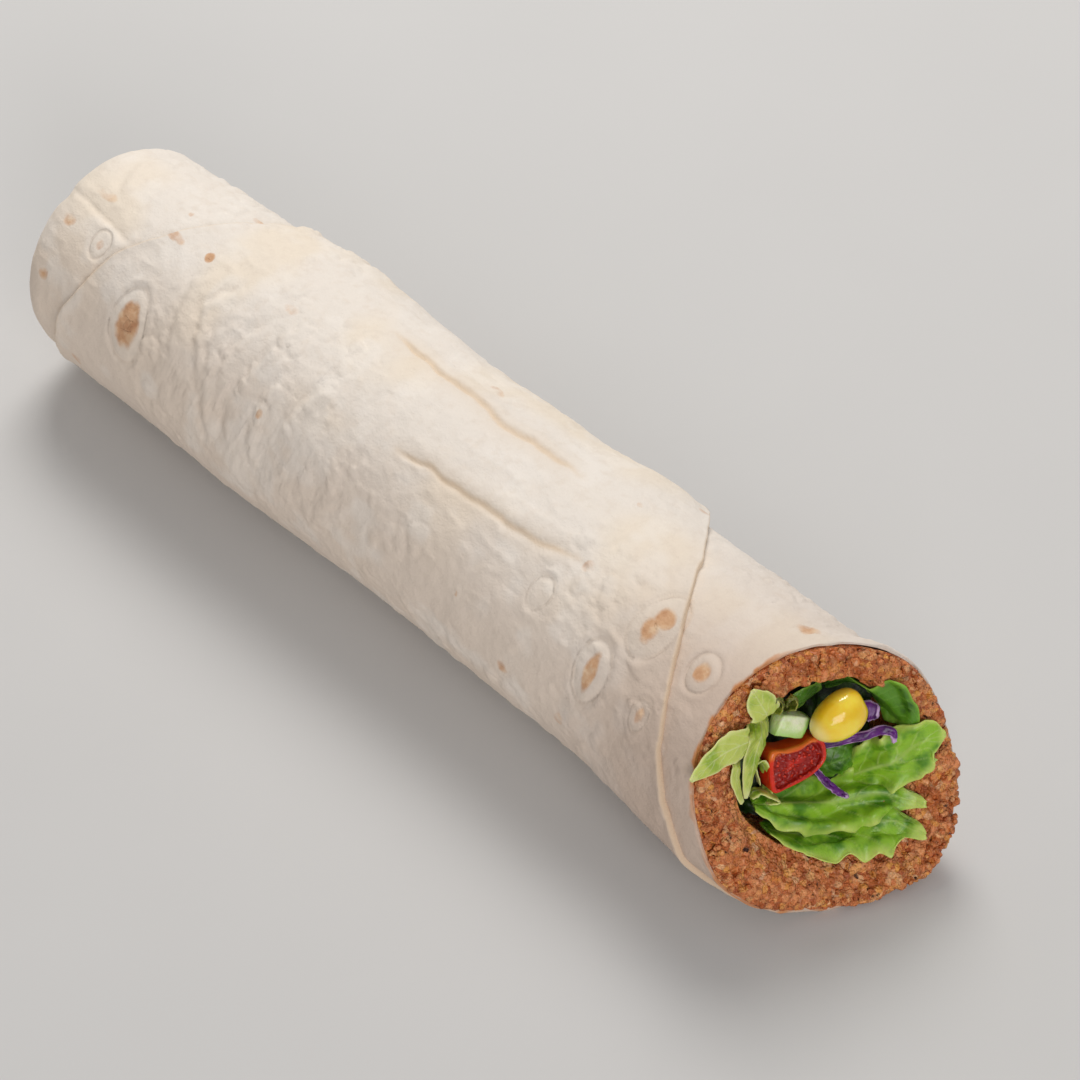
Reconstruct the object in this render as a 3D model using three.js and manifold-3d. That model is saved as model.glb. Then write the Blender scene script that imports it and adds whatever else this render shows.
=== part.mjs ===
// A durum wrap: a thin flatbread rolled round a thick layer of spiced bulgur paste and a core of salad.
// Millimetres and degrees. The roll lies along X on the table, z = 0, with its tucked end at -X and its
// slanting cut at +X. The origin is on the table, under the middle of the roll.
// Angles run round the roll: 0 points along +Y, 90 straight up, 180 along -Y and 270 down to the table.
import * as THREE from 'three';
import { mergeVertices } from 'three/addons/utils/BufferGeometryUtils.js';
import Module from 'manifold-3d';

// ---------------------------------------------------------------- driving dimensions
const TUCKED_END = -102;          // x of the closed end
const CUT_CENTRE = 101.5;         // x where the slanting cut meets the axis
const AXIS_HEIGHT = 24.6;         // a little under the radius, so that the roll rests on a narrow flat
const ROLL_RADIUS = 24;           // outside of the inner turns of bread
const SHEET = 1;                  // one turn of bread, and the step at the edge of the outer one
const WALL = 1.3;                 // inner turns of bread, together
const GAP = 0.3;                  // clearance between neighbouring pieces
const LEAF_GAP = 0.4;             // and round the thin wavy ones
const END_ROUNDING = 8;           // rounded edge of the tucked end
const CUT_LEAN_Y = 0.304;         // x of the cut grows by this for each mm towards +Y
const CUT_LEAN_Z = -0.471;        // and shrinks by this for each mm upwards

// The outer turn ends in a tongue, whose tip lies on the far side of the roll.
const TONGUE_TIP = 0;             // angle of its tip
const TONGUE_FADE = 322;          // angle where the outer turn has sunk into the inner ones

// Bulgur paste and salad
const CAVITY_HALF_WIDTH = 17.2;   // hollow in the paste, across Y
const CAVITY_HALF_HEIGHT = 15.8;  // and across Z
const CAVITY_RAISED = 2.3;        // the hollow lies above the axis, so the paste is thickest below
const CORE_RECESS = 9;            // how far the core of the salad stays behind the cut
const LEAF_THICKNESS = 0.6;

// ---------------------------------------------------------------- small helpers
const { cos, exp, floor, max, min, PI, sin, sqrt } = Math;
const radians = (degrees) => degrees * PI / 180;
const lerp = (a, b, t) => a + (b - a) * t;
const range = (count) => Array.from({ length: count }, (_, i) => i);

function smooth(from, to, value) {
  const t = min(max((value - from) / (to - from), 0), 1);
  return t * t * (3 - 2 * t);
}

// A smooth hill of height 1 at centre, gone beyond about two half widths.
function hill(value, centre, halfWidth) {
  return exp(-(((value - centre) / halfWidth) ** 2));
}

// Signed difference of two angles, from -180 to 180.
function turn(from, to) {
  return ((to - from + 540) % 360) - 180;
}

// Smooth closed curve through values given at angles that rise from 0 to 360.
function roundValues(table, angle) {
  const a = ((angle % 360) + 360) % 360;
  const next = table.findIndex(([at]) => at > a);
  const i = next < 0 ? table.length - 1 : next - 1;
  const [from, start] = table[i];
  const [to, end] = i + 1 < table.length ? table[i + 1] : [360, table[0][1]];
  return lerp(start, end, smooth(from, to, a));
}

// Soft curve through values given at rising places along a line, level beyond its ends.
function lineValues(table, place) {
  const next = table.findIndex(([at]) => at > place);
  if (next === 0) return table[0][1];
  if (next < 0) return table[table.length - 1][1];
  const [from, start] = table[next - 1];
  const [to, end] = table[next];
  return lerp(start, end, (place - from) / (to - from));
}

// ---------------------------------------------------------------- closed meshes
const wasm = await Module();
wasm.setup();

function solidFromGeometry(geometry) {
  const bare = geometry.clone();
  bare.deleteAttribute('normal');
  bare.deleteAttribute('uv');
  const merged = mergeVertices(bare, 1e-4);
  return new wasm.Manifold(new wasm.Mesh({
    numProp: 3,
    vertProperties: new Float32Array(merged.attributes.position.array),
    triVerts: new Uint32Array(merged.index.array),
  }));
}

function solidFromPoints(points, triangles) {
  const geometry = new THREE.BufferGeometry();
  geometry.setAttribute('position', new THREE.Float32BufferAttribute(points.flat(), 3));
  geometry.setIndex(triangles);
  return solidFromGeometry(geometry);
}

// Solid through closed rings of points, each running round +X, from the lowest x to the highest.
function loftSolid(rings) {
  const sides = rings[0].length;
  const centre = (ring) => [0, 1, 2].map((k) => ring.reduce((sum, p) => sum + p[k], 0) / sides);
  const points = [...rings.flat(), centre(rings[0]), centre(rings[rings.length - 1])];
  const startPole = points.length - 2;
  const endPole = points.length - 1;
  const lastRing = (rings.length - 1) * sides;
  const triangles = [];
  for (const j of range(sides)) {
    const k = (j + 1) % sides;
    for (const i of range(rings.length - 1)) {
      const a = i * sides;
      const b = a + sides;
      triangles.push(a + j, a + k, b + k, a + j, b + k, b + j);
    }
    triangles.push(startPole, k, j);
    triangles.push(endPole, lastRing + j, lastRing + k);
  }
  return solidFromPoints(points, triangles);
}

// Sheet between two grids of points that face each other, both split into triangles alike.
function sheetSolid(front, back) {
  const rows = front.length;
  const columns = front[0].length;
  const points = [...front.flat(), ...back.flat()];
  const under = rows * columns;
  const at = (i, j) => i * columns + j;
  const triangles = [];
  for (const i of range(rows - 1)) {
    for (const j of range(columns - 1)) {
      const [a, b, c, d] = [at(i, j), at(i + 1, j), at(i + 1, j + 1), at(i, j + 1)];
      triangles.push(a, b, c, a, c, d);
      triangles.push(under + a, under + c, under + b, under + a, under + d, under + c);
    }
  }
  const border = [
    ...range(rows - 1).map((i) => at(i, 0)),
    ...range(columns - 1).map((j) => at(rows - 1, j)),
    ...range(rows - 1).map((i) => at(rows - 1 - i, columns - 1)),
    ...range(columns - 1).map((j) => at(0, columns - 1 - j)),
  ];
  border.forEach((a, n) => {
    const b = border[(n + 1) % border.length];
    triangles.push(a, under + a, under + b, a, under + b, b);
  });
  return solidFromPoints(points, triangles);
}

function largestBody(solid) {
  const bodies = solid.decompose();
  return bodies.reduce((best, body) => (body.volume() > best.volume() ? body : best));
}

// ---------------------------------------------------------------- the cut and its own axes
// On the cut, u runs to the right, w up the slope and d straight out of it, from the axis of the roll.
const CUT_NORMAL = new THREE.Vector3(1, -CUT_LEAN_Y, -CUT_LEAN_Z).normalize();
const CUT_RIGHT = new THREE.Vector3(0, 0, 1).cross(CUT_NORMAL).normalize();
const CUT_UP = new THREE.Vector3().crossVectors(CUT_NORMAL, CUT_RIGHT);
const CUT_ORIGIN = new THREE.Vector3(CUT_CENTRE, 0, AXIS_HEIGHT);

function fromCut([u, w, d]) {
  const p = CUT_ORIGIN.clone();
  p.addScaledVector(CUT_RIGHT, u).addScaledVector(CUT_UP, w).addScaledVector(CUT_NORMAL, d);
  return p.toArray();
}

// The point of the cut with these y and z, moved along the roll until it stands out of the cut by out.
function cutPoint(y, z, out) {
  return [CUT_CENTRE + CUT_LEAN_Y * y + CUT_LEAN_Z * (z - AXIS_HEIGHT) + out / CUT_NORMAL.x, y, z];
}

// ---------------------------------------------------------------- outside of the roll
// How far the bread opens out at the cut, at angles round the roll.
const RIM_FLARE = [
  [0, 0.2], [38, 2.3], [76, 1.5], [120, 2], [144, 2.8], [178, 2.9], [202, 4.4], [216, 4], [246, 1], [270, 1],
  [298, 1.8], [315, 1.5], [340, 0.4],
];
const UPPER_SIDE = 34;            // angle of the upper outline that faces away from the table
const FLARE_START_UPPER = 90;     // the upper side opens late
const FLARE_START_LOWER = 52;     // the lower front side opens early

const upperShare = (angle) => 0.5 + 0.5 * cos(radians(angle - UPPER_SIDE));

function flare(x, angle) {
  const start = lerp(FLARE_START_LOWER, FLARE_START_UPPER, upperShare(angle));
  const a = radians(angle);
  const [rim] = cutPoint(ROLL_RADIUS * cos(a), AXIS_HEIGHT + ROLL_RADIUS * sin(a), 0);
  return roundValues(RIM_FLARE, angle) * smooth(min(start, rim - 9), rim, x);
}

// The tucked end is gathered by soft folds that run over its edge; the longest shows on the upper side.
const END_FOLDS = [{ angle: 117, reach: 24 }, { angle: 232, reach: 10 }, { angle: 352, reach: 12 }];
const END_FOLD_DEPTH = 0.9;
const END_FOLD_WIDTH = 8;         // degrees

function endFold(x, angle) {
  return END_FOLDS.reduce((deepest, fold) => {
    const along = 1 - smooth(TUCKED_END + fold.reach / 2, TUCKED_END + fold.reach, x);
    return max(deepest, END_FOLD_DEPTH * along * hill(turn(fold.angle, angle), 0, END_FOLD_WIDTH));
  }, 0);
}

const END_TAPER = 1.4;            // the upper side slims down towards the tucked end

function innerTurnRadius(x, angle) {
  const taper = END_TAPER * upperShare(angle) * (1 - smooth(TUCKED_END + 6, TUCKED_END + 34, x));
  return ROLL_RADIUS + flare(x, angle) - taper - endFold(x, angle);
}

// Long soft creases in the outer turn: a rounded ridge beside a shallow valley.
const CREASES = [
  { line: [[-18, 75], [-4, 76], [12, 80], [31, 80]], from: -22, to: 36, height: 1.1, width: 5 },
  { line: [[0, 122], [12, 120], [27, 117], [45, 112]], from: -4, to: 50, height: 1.2, width: 6 },
];

function crease({ line, from, to, height, width }, x, angle) {
  const off = angle - lineValues(line, x);
  const ridge = hill(off, -width, width);
  const valley = hill(off, width / 2, width * 0.7);
  const along = smooth(from, from + 10, x) * (1 - smooth(to - 14, to, x));
  return height * along * (ridge - 0.45 * valley);
}

// Where the outer turn lifts off the turns below it: places along the roll, angles and heights.
const LIFTS = [
  { x: -42, length: 16, angle: 40, spread: 42, height: 1.9 },
  { x: 41, length: 11, angle: 30, spread: 40, height: 2.1 },
  { x: 14, length: 13, angle: 38, spread: 30, height: 0.5 },
  { x: -13, length: 7, angle: 55, spread: 12, height: 0.9 },
  { x: -35, length: 14, angle: 205, spread: 40, height: 0.5 },
  { x: 14, length: 26, angle: 205, spread: 45, height: -0.5 },
];

function outerTurnRadius(x, angle) {
  const sink = (SHEET + GAP) * smooth(TONGUE_FADE - 24, TONGUE_FADE, angle);
  const lifts = LIFTS.reduce(
    (sum, lift) => sum + lift.height * hill(x, lift.x, lift.length) * hill(angle, lift.angle, lift.spread),
    0,
  );
  const creases = CREASES.reduce((sum, one) => sum + crease(one, x, angle), 0);
  return innerTurnRadius(x, angle) + SHEET + lifts + creases - sink;
}

// A point of the roll, which keeps it clear of the table by the given height.
function rollPoint(x, angle, radius, clear) {
  const a = radians(angle);
  return [x, radius * cos(a), max(AXIS_HEIGHT + radius * sin(a), clear)];
}

// The middle of the tucked end is drawn in: radius and depth.
const END_DIMPLE = [[1, 3.2], [5, 2], [11, 0.6]];

// Rings of a solid that fills the roll up to inset under its inner turns, from the tucked end to beyond
// the cut, with a rounded edge at the tucked end.
function filledRoll(inset, sides, stations, clear = inset) {
  const rounding = END_ROUNDING - inset;
  const end = TUCKED_END + inset;
  const ringAt = (x, radiusAt, foldDepth = 0) => range(sides).map((j) => {
    const angle = 360 * j / sides;
    return rollPoint(x + foldDepth * endFold(TUCKED_END, angle), angle, radiusAt(x, angle), clear);
  });
  const wallRadius = (x, angle) => innerTurnRadius(x, angle) - inset;
  const dimple = END_DIMPLE.map(([radius, depth]) => ringAt(end + depth, () => radius, radius / 11));
  const rounded = range(5).map((i) => {
    const a = PI / 2 * i / 4;
    const shrink = rounding * (1 - sin(a));
    return ringAt(end + rounding * (1 - cos(a)), (x, angle) => wallRadius(x, angle) - shrink, cos(a));
  });
  return [...dimple, ...rounded, ...stations.map((x) => ringAt(x, wallRadius))];
}

const BEYOND_CUT = 122;
const HALF_SPACE = 400;

// Everything behind the plane of the cut.
function behindCut() {
  const block = new THREE.BoxGeometry(HALF_SPACE, HALF_SPACE, HALF_SPACE);
  const place = new THREE.Matrix4().makeBasis(CUT_RIGHT, CUT_UP, CUT_NORMAL);
  const centre = CUT_ORIGIN.clone().addScaledVector(CUT_NORMAL, -HALF_SPACE / 2);
  block.applyMatrix4(place.setPosition(centre));
  return solidFromGeometry(block);
}

// ---------------------------------------------------------------- flatbread
// Ends of the outer turn along the roll, at angles from its tip round to where it sinks in.
const TONGUE_RIGHT = [
  [0, 9], [6, 28], [18, 43], [34, 50], [50, 55], [77, 63], [106, 70.5], [126, 74.5], [153, 81], [180, 87],
  [200, 91], [218, 97], [236, 109], [250, BEYOND_CUT],
];
const TONGUE_LEFT = [
  [0, -9], [6, -30], [18, -46], [34, -54], [52, -59], [76, -64], [100, -70.5], [125, -78], [148, -83],
  [180, -88], [240, -93],
];

// Toasted blisters that stand out of the bread: place, half length along the roll, half width round it.
const BLISTERS = [
  { x: -67.5, angle: 151, along: 5, round: 7.5 },
  { x: 60.5, angle: 148, along: 4, round: 6.5 },
  { x: 66, angle: 114, along: 4, round: 6 },
  { x: 80, angle: 119, along: 3.4, round: 3.6 },
];
const BLISTER_HEIGHT = 0.7;

function outerTurn() {
  const angles = [
    ...range(6).map((i) => TONGUE_TIP + 10 * i),
    ...range(11).map((i) => 60 + 6.5 * i),
    ...range(16).map((i) => lerp(133, TONGUE_FADE - 24, i / 15)),
    TONGUE_FADE - 16,
    TONGUE_FADE - 8,
    TONGUE_FADE,
  ];
  const columns = 24;
  const layer = (over) => angles.map((angle) => {
    const left = lineValues(TONGUE_LEFT, angle);
    const right = lineValues(TONGUE_RIGHT, angle);
    return range(columns).map((j) => {
      const x = lerp(left, right, j / (columns - 1));
      const outside = outerTurnRadius(x, angle);
      const inside = innerTurnRadius(x, angle) - WALL / 2;
      return rollPoint(x, angle, over ? outside : min(inside, outside - SHEET / 3), over ? 0 : WALL / 2);
    });
  });
  return sheetSolid(layer(true), layer(false));
}

function blister({ x, angle, along, round }) {
  const dome = new THREE.SphereGeometry(1, 12, 6);
  dome.scale(along, round, BLISTER_HEIGHT);
  dome.rotateX(radians(angle - 90));
  const onTongue = x < lineValues(TONGUE_RIGHT, angle);
  const radius = onTongue ? outerTurnRadius(x, angle) : innerTurnRadius(x, angle);
  dome.translate(...rollPoint(x, angle, radius - 0.35, 0));
  return solidFromGeometry(dome);
}

const SIDES = 42;
const FLARE_STATIONS = [52, 66, 78, 86, 92, 98, 105, 112, BEYOND_CUT];

function flatbread() {
  const outside = loftSolid(filledRoll(0, SIDES, [-84, -76, ...FLARE_STATIONS], SHEET / 3));
  const inside = loftSolid(filledRoll(WALL, SIDES, [...FLARE_STATIONS, BEYOND_CUT + 4]));
  const turns = wasm.Manifold.union([outside, outerTurn(), ...BLISTERS.map(blister)]);
  return turns.intersect(behindCut()).subtract(inside);
}

// ---------------------------------------------------------------- bulgur paste
// Uneven lumps, between -1 and 1, with a size of a few millimetres.
function lumps(a, b, size) {
  const p = 2 * PI * a / size;
  const q = 2 * PI * b / size;
  const first = sin(p + 1.3 * sin(q * 0.7 + 0.4)) * sin(q + 1.1 * sin(p * 0.6 + 2));
  const second = sin(1.7 * p - 0.8 * q + 1) * sin(1.5 * q + 0.7 * p + 2.6);
  return 0.6 * first + 0.4 * second;
}

// The hollow in the paste has the same slightly uneven section all along the roll.
function cavityRing(x, grow) {
  return range(SIDES).map((j) => {
    const a = 2 * PI * j / SIDES;
    const uneven = 0.6 * sin(3 * a + 1) + 0.4 * sin(5 * a + 2.2) + 0.3 * sin(8 * a);
    const y = (CAVITY_HALF_WIDTH + uneven + grow) * cos(a);
    const z = AXIS_HEIGHT + CAVITY_RAISED + (CAVITY_HALF_HEIGHT + uneven + grow) * sin(a);
    return [x, y, z];
  });
}

// The cut paste swells out in coarse lumps, most of all low on the right: its height over the cut at
// shares of the way from the axis out to the bread.
const CROWN = [[0.5, -2], [0.64, -1.2], [0.72, 0.4], [0.8, 1.2], [0.89, 1.3], [0.96, 0.9], [1, 0.1]];
const BULGE_ANGLE = 300;
const BULGE_WIDTH = 42;           // degrees to either side
const BULGE = 2;                  // how many times higher the crown gets there
const LUMP_SIZE = 7.5;
const LUMP_HEIGHT = 0.6;

function crownHeight(share, angle) {
  const height = lineValues(CROWN, share);
  return height > 0 ? height * (1 + BULGE * hill(turn(BULGE_ANGLE, angle), 0, BULGE_WIDTH)) : height;
}

// Radius of the paste where it meets the cut.
function pasteEdge(angle) {
  const [a, first] = [radians(angle), ROLL_RADIUS + 2];
  const [x] = cutPoint(first * cos(a), first * sin(a) + AXIS_HEIGHT, 0);
  return innerTurnRadius(x - 2.5, angle) - WALL - GAP - 0.15;
}

function pasteCrown() {
  const ring = (share, height) => range(SIDES).map((j) => {
    const angle = 360 * j / SIDES;
    const [, y, z] = rollPoint(0, angle, pasteEdge(angle), WALL + GAP + 0.1);
    const [py, pz] = [y * share, AXIS_HEIGHT + (z - AXIS_HEIGHT) * share];
    const lump = share < 1 ? LUMP_HEIGHT * lumps(py, pz, LUMP_SIZE) : 0;
    return cutPoint(py, pz, height ?? crownHeight(share, angle) + lump);
  });
  return loftSolid([ring(1, -2), ...CROWN.map(([share]) => ring(share)).reverse()]);
}

// The paste fills the bread up to the cut, round the hollow that holds the salad.
function bulgurPaste() {
  const filled = loftSolid(filledRoll(WALL + GAP, SIDES, FLARE_STATIONS)).intersect(behindCut());
  const hollow = loftSolid([cavityRing(TUCKED_END - 5, 0), cavityRing(BEYOND_CUT, 0)]);
  return filled.add(pasteCrown()).subtract(hollow);
}

// ---------------------------------------------------------------- salad
// The shredded greens that fill the hollow run through the roll, and stop short of the cut.
const CORE_START = TUCKED_END + 6;

function saladCore() {
  const middle = AXIS_HEIGHT + CAVITY_RAISED;
  const front = [1, 0.97, 0.75, 0.5, 0.25].map((share, i) => cavityRing(0, -GAP).map(([, y, z]) => {
    const [py, pz] = [y * share, middle + (z - middle) * share];
    const recess = CORE_RECESS + (i === 0 ? 2.5 : 1.4 * lumps(py + 4, pz, 12));
    return cutPoint(py, pz, -recess);
  }));
  return loftSolid([cavityRing(CORE_START, -GAP), ...front]);
}

// A point of a leaf, given on the cut. Below the lip of the hollow it stays inside the hollow's walls,
// and past the lip it lies on the paste.
const LIP = [-0.6, 1.6];          // heights over the cut between which a leaf passes over the lip
const LIP_CLEARANCE = 1.1;

function overLip(p) {
  const [, y, z] = fromCut([p.x, p.y, 0]);
  const angle = Math.atan2(z - AXIS_HEIGHT, y) * 180 / PI;
  const share = sqrt(y * y + (z - AXIS_HEIGHT) ** 2) / pasteEdge((angle + 360) % 360);
  const onPaste = crownHeight(min(share, 0.93), angle) + LUMP_HEIGHT + LEAF_GAP + LEAF_THICKNESS / 2;
  p.z = lerp(p.z, max(p.z, onPaste), smooth(LIP[0] - 1, LIP[0] + 0.6, p.z));
  const place = new THREE.Vector3(...fromCut(p.toArray()));
  const middle = AXIS_HEIGHT + CAVITY_RAISED;
  const across = place.y / (CAVITY_HALF_WIDTH - LIP_CLEARANCE);
  const up = (place.z - middle) / (CAVITY_HALF_HEIGHT - LIP_CLEARANCE);
  const reach = sqrt(across * across + up * up);
  const pull = reach > 1 ? lerp(1 / reach, 1, smooth(LIP[0], LIP[1], p.z)) : 1;
  place.y *= pull;
  place.z = middle + (place.z - middle) * pull;
  return place;
}

// Straight line through values given at even steps, for t from 0 to 1.
function evenValues(values, t) {
  const place = t * (values.length - 1);
  const i = min(floor(place), values.length - 2);
  return lerp(values[i], values[i + 1], place - i);
}

// A leaf follows a path of points [u, w, d] on the cut, from its root to its tip, with a width and a tilt at
// even steps along it. With a tilt of 0 it lies flat on the cut, and with 90 it stands on its left edge. Its
// middle bows out by bow and its edges ripple. grow makes the room that it needs in its neighbours.
const OUT_OF_CUT = new THREE.Vector3(0, 0, 1);

function leaf({ path, width, tilt, bow = 0.6, ripple = 0.5, waves = 2, rows = 12, columns = 6 }, grow = 0) {
  const curve = new THREE.CatmullRomCurve3(path.map((p) => new THREE.Vector3(...p)), false, 'centripetal');
  const middle = (t, s) => {
    const forward = curve.getTangent(t);
    const beside = forward.clone().cross(OUT_OF_CUT).normalize();
    const facing = beside.clone().cross(forward);
    const turned = radians(evenValues(tilt, t));
    const offset = (s - 0.5) * evenValues(width, t);
    const p = curve.getPoint(t)
      .addScaledVector(beside, offset * cos(turned))
      .addScaledVector(facing, offset * sin(turned));
    const frill = sin(2 * PI * waves * t + 4 * s) * (2 * s - 1) ** 2 * smooth(0.15, 0.5, t);
    p.z += bow * 4 * s * (1 - s) * sin(PI * t) + ripple * frill;
    return overLip(p);
  };
  const step = 0.03;
  const difference = (move) => (t, s) => {
    const [dt, ds] = move;
    const [t0, t1] = [max(t - dt, 0), min(t + dt, 1)];
    const [s0, s1] = [max(s - ds, 0), min(s + ds, 1)];
    return middle(t1, s1).sub(middle(t0, s0)).normalize();
  };
  const alongAt = difference([step, 0]);
  const acrossAt = difference([0, step]);
  const half = LEAF_THICKNESS / 2 + grow;
  const margin = grow > 0 ? 1 : 0;
  const side = (sign) => range(rows + 2 * margin).map((i) => range(columns + 2 * margin).map((j) => {
    const [row, column] = [min(max(i - margin, 0), rows - 1), min(max(j - margin, 0), columns - 1)];
    const [t, s] = [row / (rows - 1), column / (columns - 1)];
    const [along, across] = [alongAt(t, s), acrossAt(t, s)];
    const normal = along.clone().cross(across).normalize();
    return middle(t, s)
      .addScaledVector(normal, sign * half)
      .addScaledVector(along, grow * (i - margin - row))
      .addScaledVector(across, grow * (j - margin - column))
      .toArray();
  }));
  return sheetSolid(side(1), side(-1));
}

// A strip has one width, and lies flat on the cut or stands on edge in it.
function strip({ path, width, onEdge = false, rows = 10 }, grow = 0) {
  const tilt = onEdge ? 90 : 0;
  return leaf({ path, width: [width, width], tilt: [tilt, tilt], bow: 0, ripple: 0, rows, columns: 2 }, grow);
}

const LEAVES = {
  leaf_right: {
    path: [[4.5, -7.8, -10], [9.4, -4.5, -5.1], [14.2, -1.9, -0.5], [18.8, 1.2, 2.2], [23.3, 0.9, 2.7]],
    width: [6.6, 7.9, 12, 7.6, 1.3], tilt: [17, 21, 10, 0, 0],
    bow: 0.5, waves: 3, rows: 13, columns: 5,
  },
  leaf_middle: {
    path: [[-14.4, -1.5, -3.8], [-8.5, -4.8, -5.2], [1, -8.8, -5.6], [10.2, -9.6, -3.2], [16.9, -11.6, 0.4]],
    width: [3, 9, 10.1, 4.8, 0.9], tilt: [54, 45, 43, 46, 0],
    bow: 0.9, ripple: 0.4, waves: 2.5, rows: 13, columns: 5,
  },
  leaf_lower: {
    path: [[-13.4, -7.4, -3.8], [-7, -11.8, -4], [1.7, -13.5, -3.3], [9.8, -14.6, -0.9], [15, -16.7, 1.4]],
    width: [4.8, 11, 13.3, 9.5, 1.3], tilt: [66, 72, 66, 53, 31],
    bow: 0.5, ripple: 0.4, waves: 3, rows: 13, columns: 4,
  },
  leaf_top: {
    path: [[6.8, 13, -9.8], [10.3, 14.8, -5.1], [14.5, 12.6, -2.9], [16.9, 7.9, -1.6], [16.2, 4.2, -1.6]],
    width: [3.9, 5, 6.8, 7.2, 5.4], tilt: [-15, -40, -52, -53, -58],
    bow: 0.4, ripple: 0.3, rows: 12, columns: 5,
  },
  leaf_blade: {
    path: [[-6.7, 10.7, -9], [-1.5, 14.1, -6], [4.5, 15.4, -6.2]],
    width: [2.7, 3.1, 2.5], tilt: [-20, -16, -20], bow: 0.3, ripple: 0.2, rows: 8, columns: 4,
  },
  leaf_inner: {
    path: [[1.8, -2.4, -9.5], [5.5, -1, -7.1], [11.3, -1.4, -7.4]],
    width: [6, 7.5, 4.3], tilt: [20, 0, 0], bow: 1, ripple: 0.2, rows: 8, columns: 5,
  },
  leaf_left_tip: {
    path: [[-11.3, 11.5, -8], [-15, 15, -1.2], [-20.3, 15.5, 2.4], [-24.5, 14, 2.5], [-28.2, 12.5, 1.3]],
    width: [4, 6.2, 6.1, 4, 0.8], tilt: [-30, -9, 6, 3, 0],
    bow: 0.4, ripple: 0.4, waves: 3, rows: 11, columns: 4,
  },
  leaf_left_upright: {
    path: [[-8.8, 12.5, -9], [-10.1, 15.9, -3.9], [-11.1, 19.4, 0.1], [-12.3, 22.9, 2.2], [-12.9, 25.1, 2.5]],
    width: [3.5, 4.4, 6, 4.8, 0.8], tilt: [19, 11, 4, 0, 0],
    bow: 0.3, ripple: 0.3, rows: 10, columns: 4,
  },
  leaf_left_folded: {
    path: [[-8.5, 16.5, -6.2], [-11.1, 15.2, -2.3], [-13.5, 12.1, -0.6], [-15.3, 8.1, -0.5], [-17.3, 3.2, -0.4]],
    width: [4.1, 6, 5.7, 4.4, 1], tilt: [-39, -4, 21, 30, 24],
    bow: 1, ripple: 0.3, rows: 11, columns: 5,
  },
  leaf_left_stem: {
    path: [[-15.5, 13, -4.8], [-18, 11.6, -1.2], [-19.3, 9.1, 0.7], [-19, 5.9, 0.9], [-18.5, 3, 0.8]],
    width: [2.3, 2.3, 2.7, 2.2, 1], tilt: [-20, 0, 31, 40, 44],
    bow: 0.3, ripple: 0.1, rows: 8, columns: 3,
  },
};

// Curled slivers of lettuce and shreds of red cabbage, each rooted in the greens below it.
const SHREDS = {
  curl_left: {
    path: [[-10.6, -2.6, -9], [-11, -0.6, -4.6], [-11.2, 1.6, -2.4], [-11.2, 4.5, -2.2], [-11.5, 7.8, -2.2],
      [-12.5, 8.6, -2.4], [-13.1, 7, -2.8], [-12.7, 2.9, -3]],
    width: 3.4, onEdge: true, rows: 13,
  },
  curl_low: {
    path: [[-15.4, 1.6, -2.2], [-13.5, 2, -2.2], [-10.8, -0.2, -2.2], [-10.3, -1.5, -2], [-12.2, -1.2, -2]],
    width: 3, onEdge: true, rows: 10,
  },
  olive_curl_a: {
    path: [[-9.2, 20.4, -2], [-8.4, 21.6, -2], [-7.3, 20.2, -2.4], [-7.1, 17.6, -4], [-7, 14, -9.5]],
    width: 2.6, onEdge: true, rows: 9,
  },
  olive_curl_b: {
    path: [[-6.2, 18.2, -3], [-6, 19.8, -2.6], [-4.7, 19.8, -2.6], [-3.7, 17.6, -3], [-4.3, 15.4, -3.6],
      [-4.6, 13.6, -7]],
    width: 2.8, onEdge: true, rows: 10,
  },
  cabbage_long: {
    path: [[0.6, 5.2, -2.8], [5.6, 4.9, -1.8], [9.6, 5.1, -0.8], [12, 5.5, 0], [13.4, 4.7, 0.2], [13.2, 2.9, 0]],
    width: 1.4, rows: 12,
  },
  cabbage_wedge: {
    path: [[9.2, 7.4, -3.6], [11.2, 8.2, -3], [13.2, 7.4, -2.2]],
    width: 3.6, rows: 5,
  },
  cabbage_short: {
    path: [[-1.4, 1, -2], [-0.2, -1.7, -1.6], [1.5, -4, -1.4], [2.9, -5.5, -1.6], [3.6, -6.6, -4.5], [3.8, -7.4, -9]],
    width: 1.1, rows: 9,
  },
};

// ---------------------------------------------------------------- corn, pepper, cucumber
const CORN = { centre: [3.3, 12.4, 1.6], length: 11.8, width: 8.4, depth: 7.4, lean: 17 };

function placeOnCut(geometry, [u, w, d], lean) {
  const turned = new THREE.Matrix4().makeBasis(CUT_RIGHT, CUT_UP, CUT_NORMAL);
  turned.setPosition(...fromCut([u, w, d]));
  geometry.rotateZ(radians(lean));
  geometry.applyMatrix4(turned);
  return geometry;
}

// A kernel: a rounded wedge that narrows to its root.
function corn(grow = 0) {
  const kernel = new THREE.SphereGeometry(1, 18, 12);
  const position = kernel.attributes.position;
  for (const i of range(position.count)) {
    const [x, y, z] = [position.getX(i), position.getY(i), position.getZ(i)];
    const taper = 1 + 0.16 * x;
    position.setXYZ(
      i,
      x * (CORN.length / 2 + grow),
      y * taper * (CORN.width / 2 + grow),
      z * taper * (CORN.depth / 2 + grow),
    );
  }
  return solidFromGeometry(placeOnCut(kernel, CORN.centre, CORN.lean));
}

const PEPPER_OUTLINE = [
  [-10.6, 9.2], [-7.2, 8.9], [-4, 8.6], [-1.6, 9.1], [0.2, 8], [0.6, 5.6], [-0.2, 3.4], [-3.4, 1.7], [-8.4, 1.2],
  [-11.6, 1.9],
];
const PEPPER_FACE = [[-10, 8.1], [-6.4, 7.7], [-2.4, 7.8], [-0.9, 6.4], [-1.4, 4.3], [-4, 3], [-8.4, 2.5], [-11, 2.9]];
const PEPPER_FRONT = 0.2;
const PEPPER_DEPTH = 5;

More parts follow.
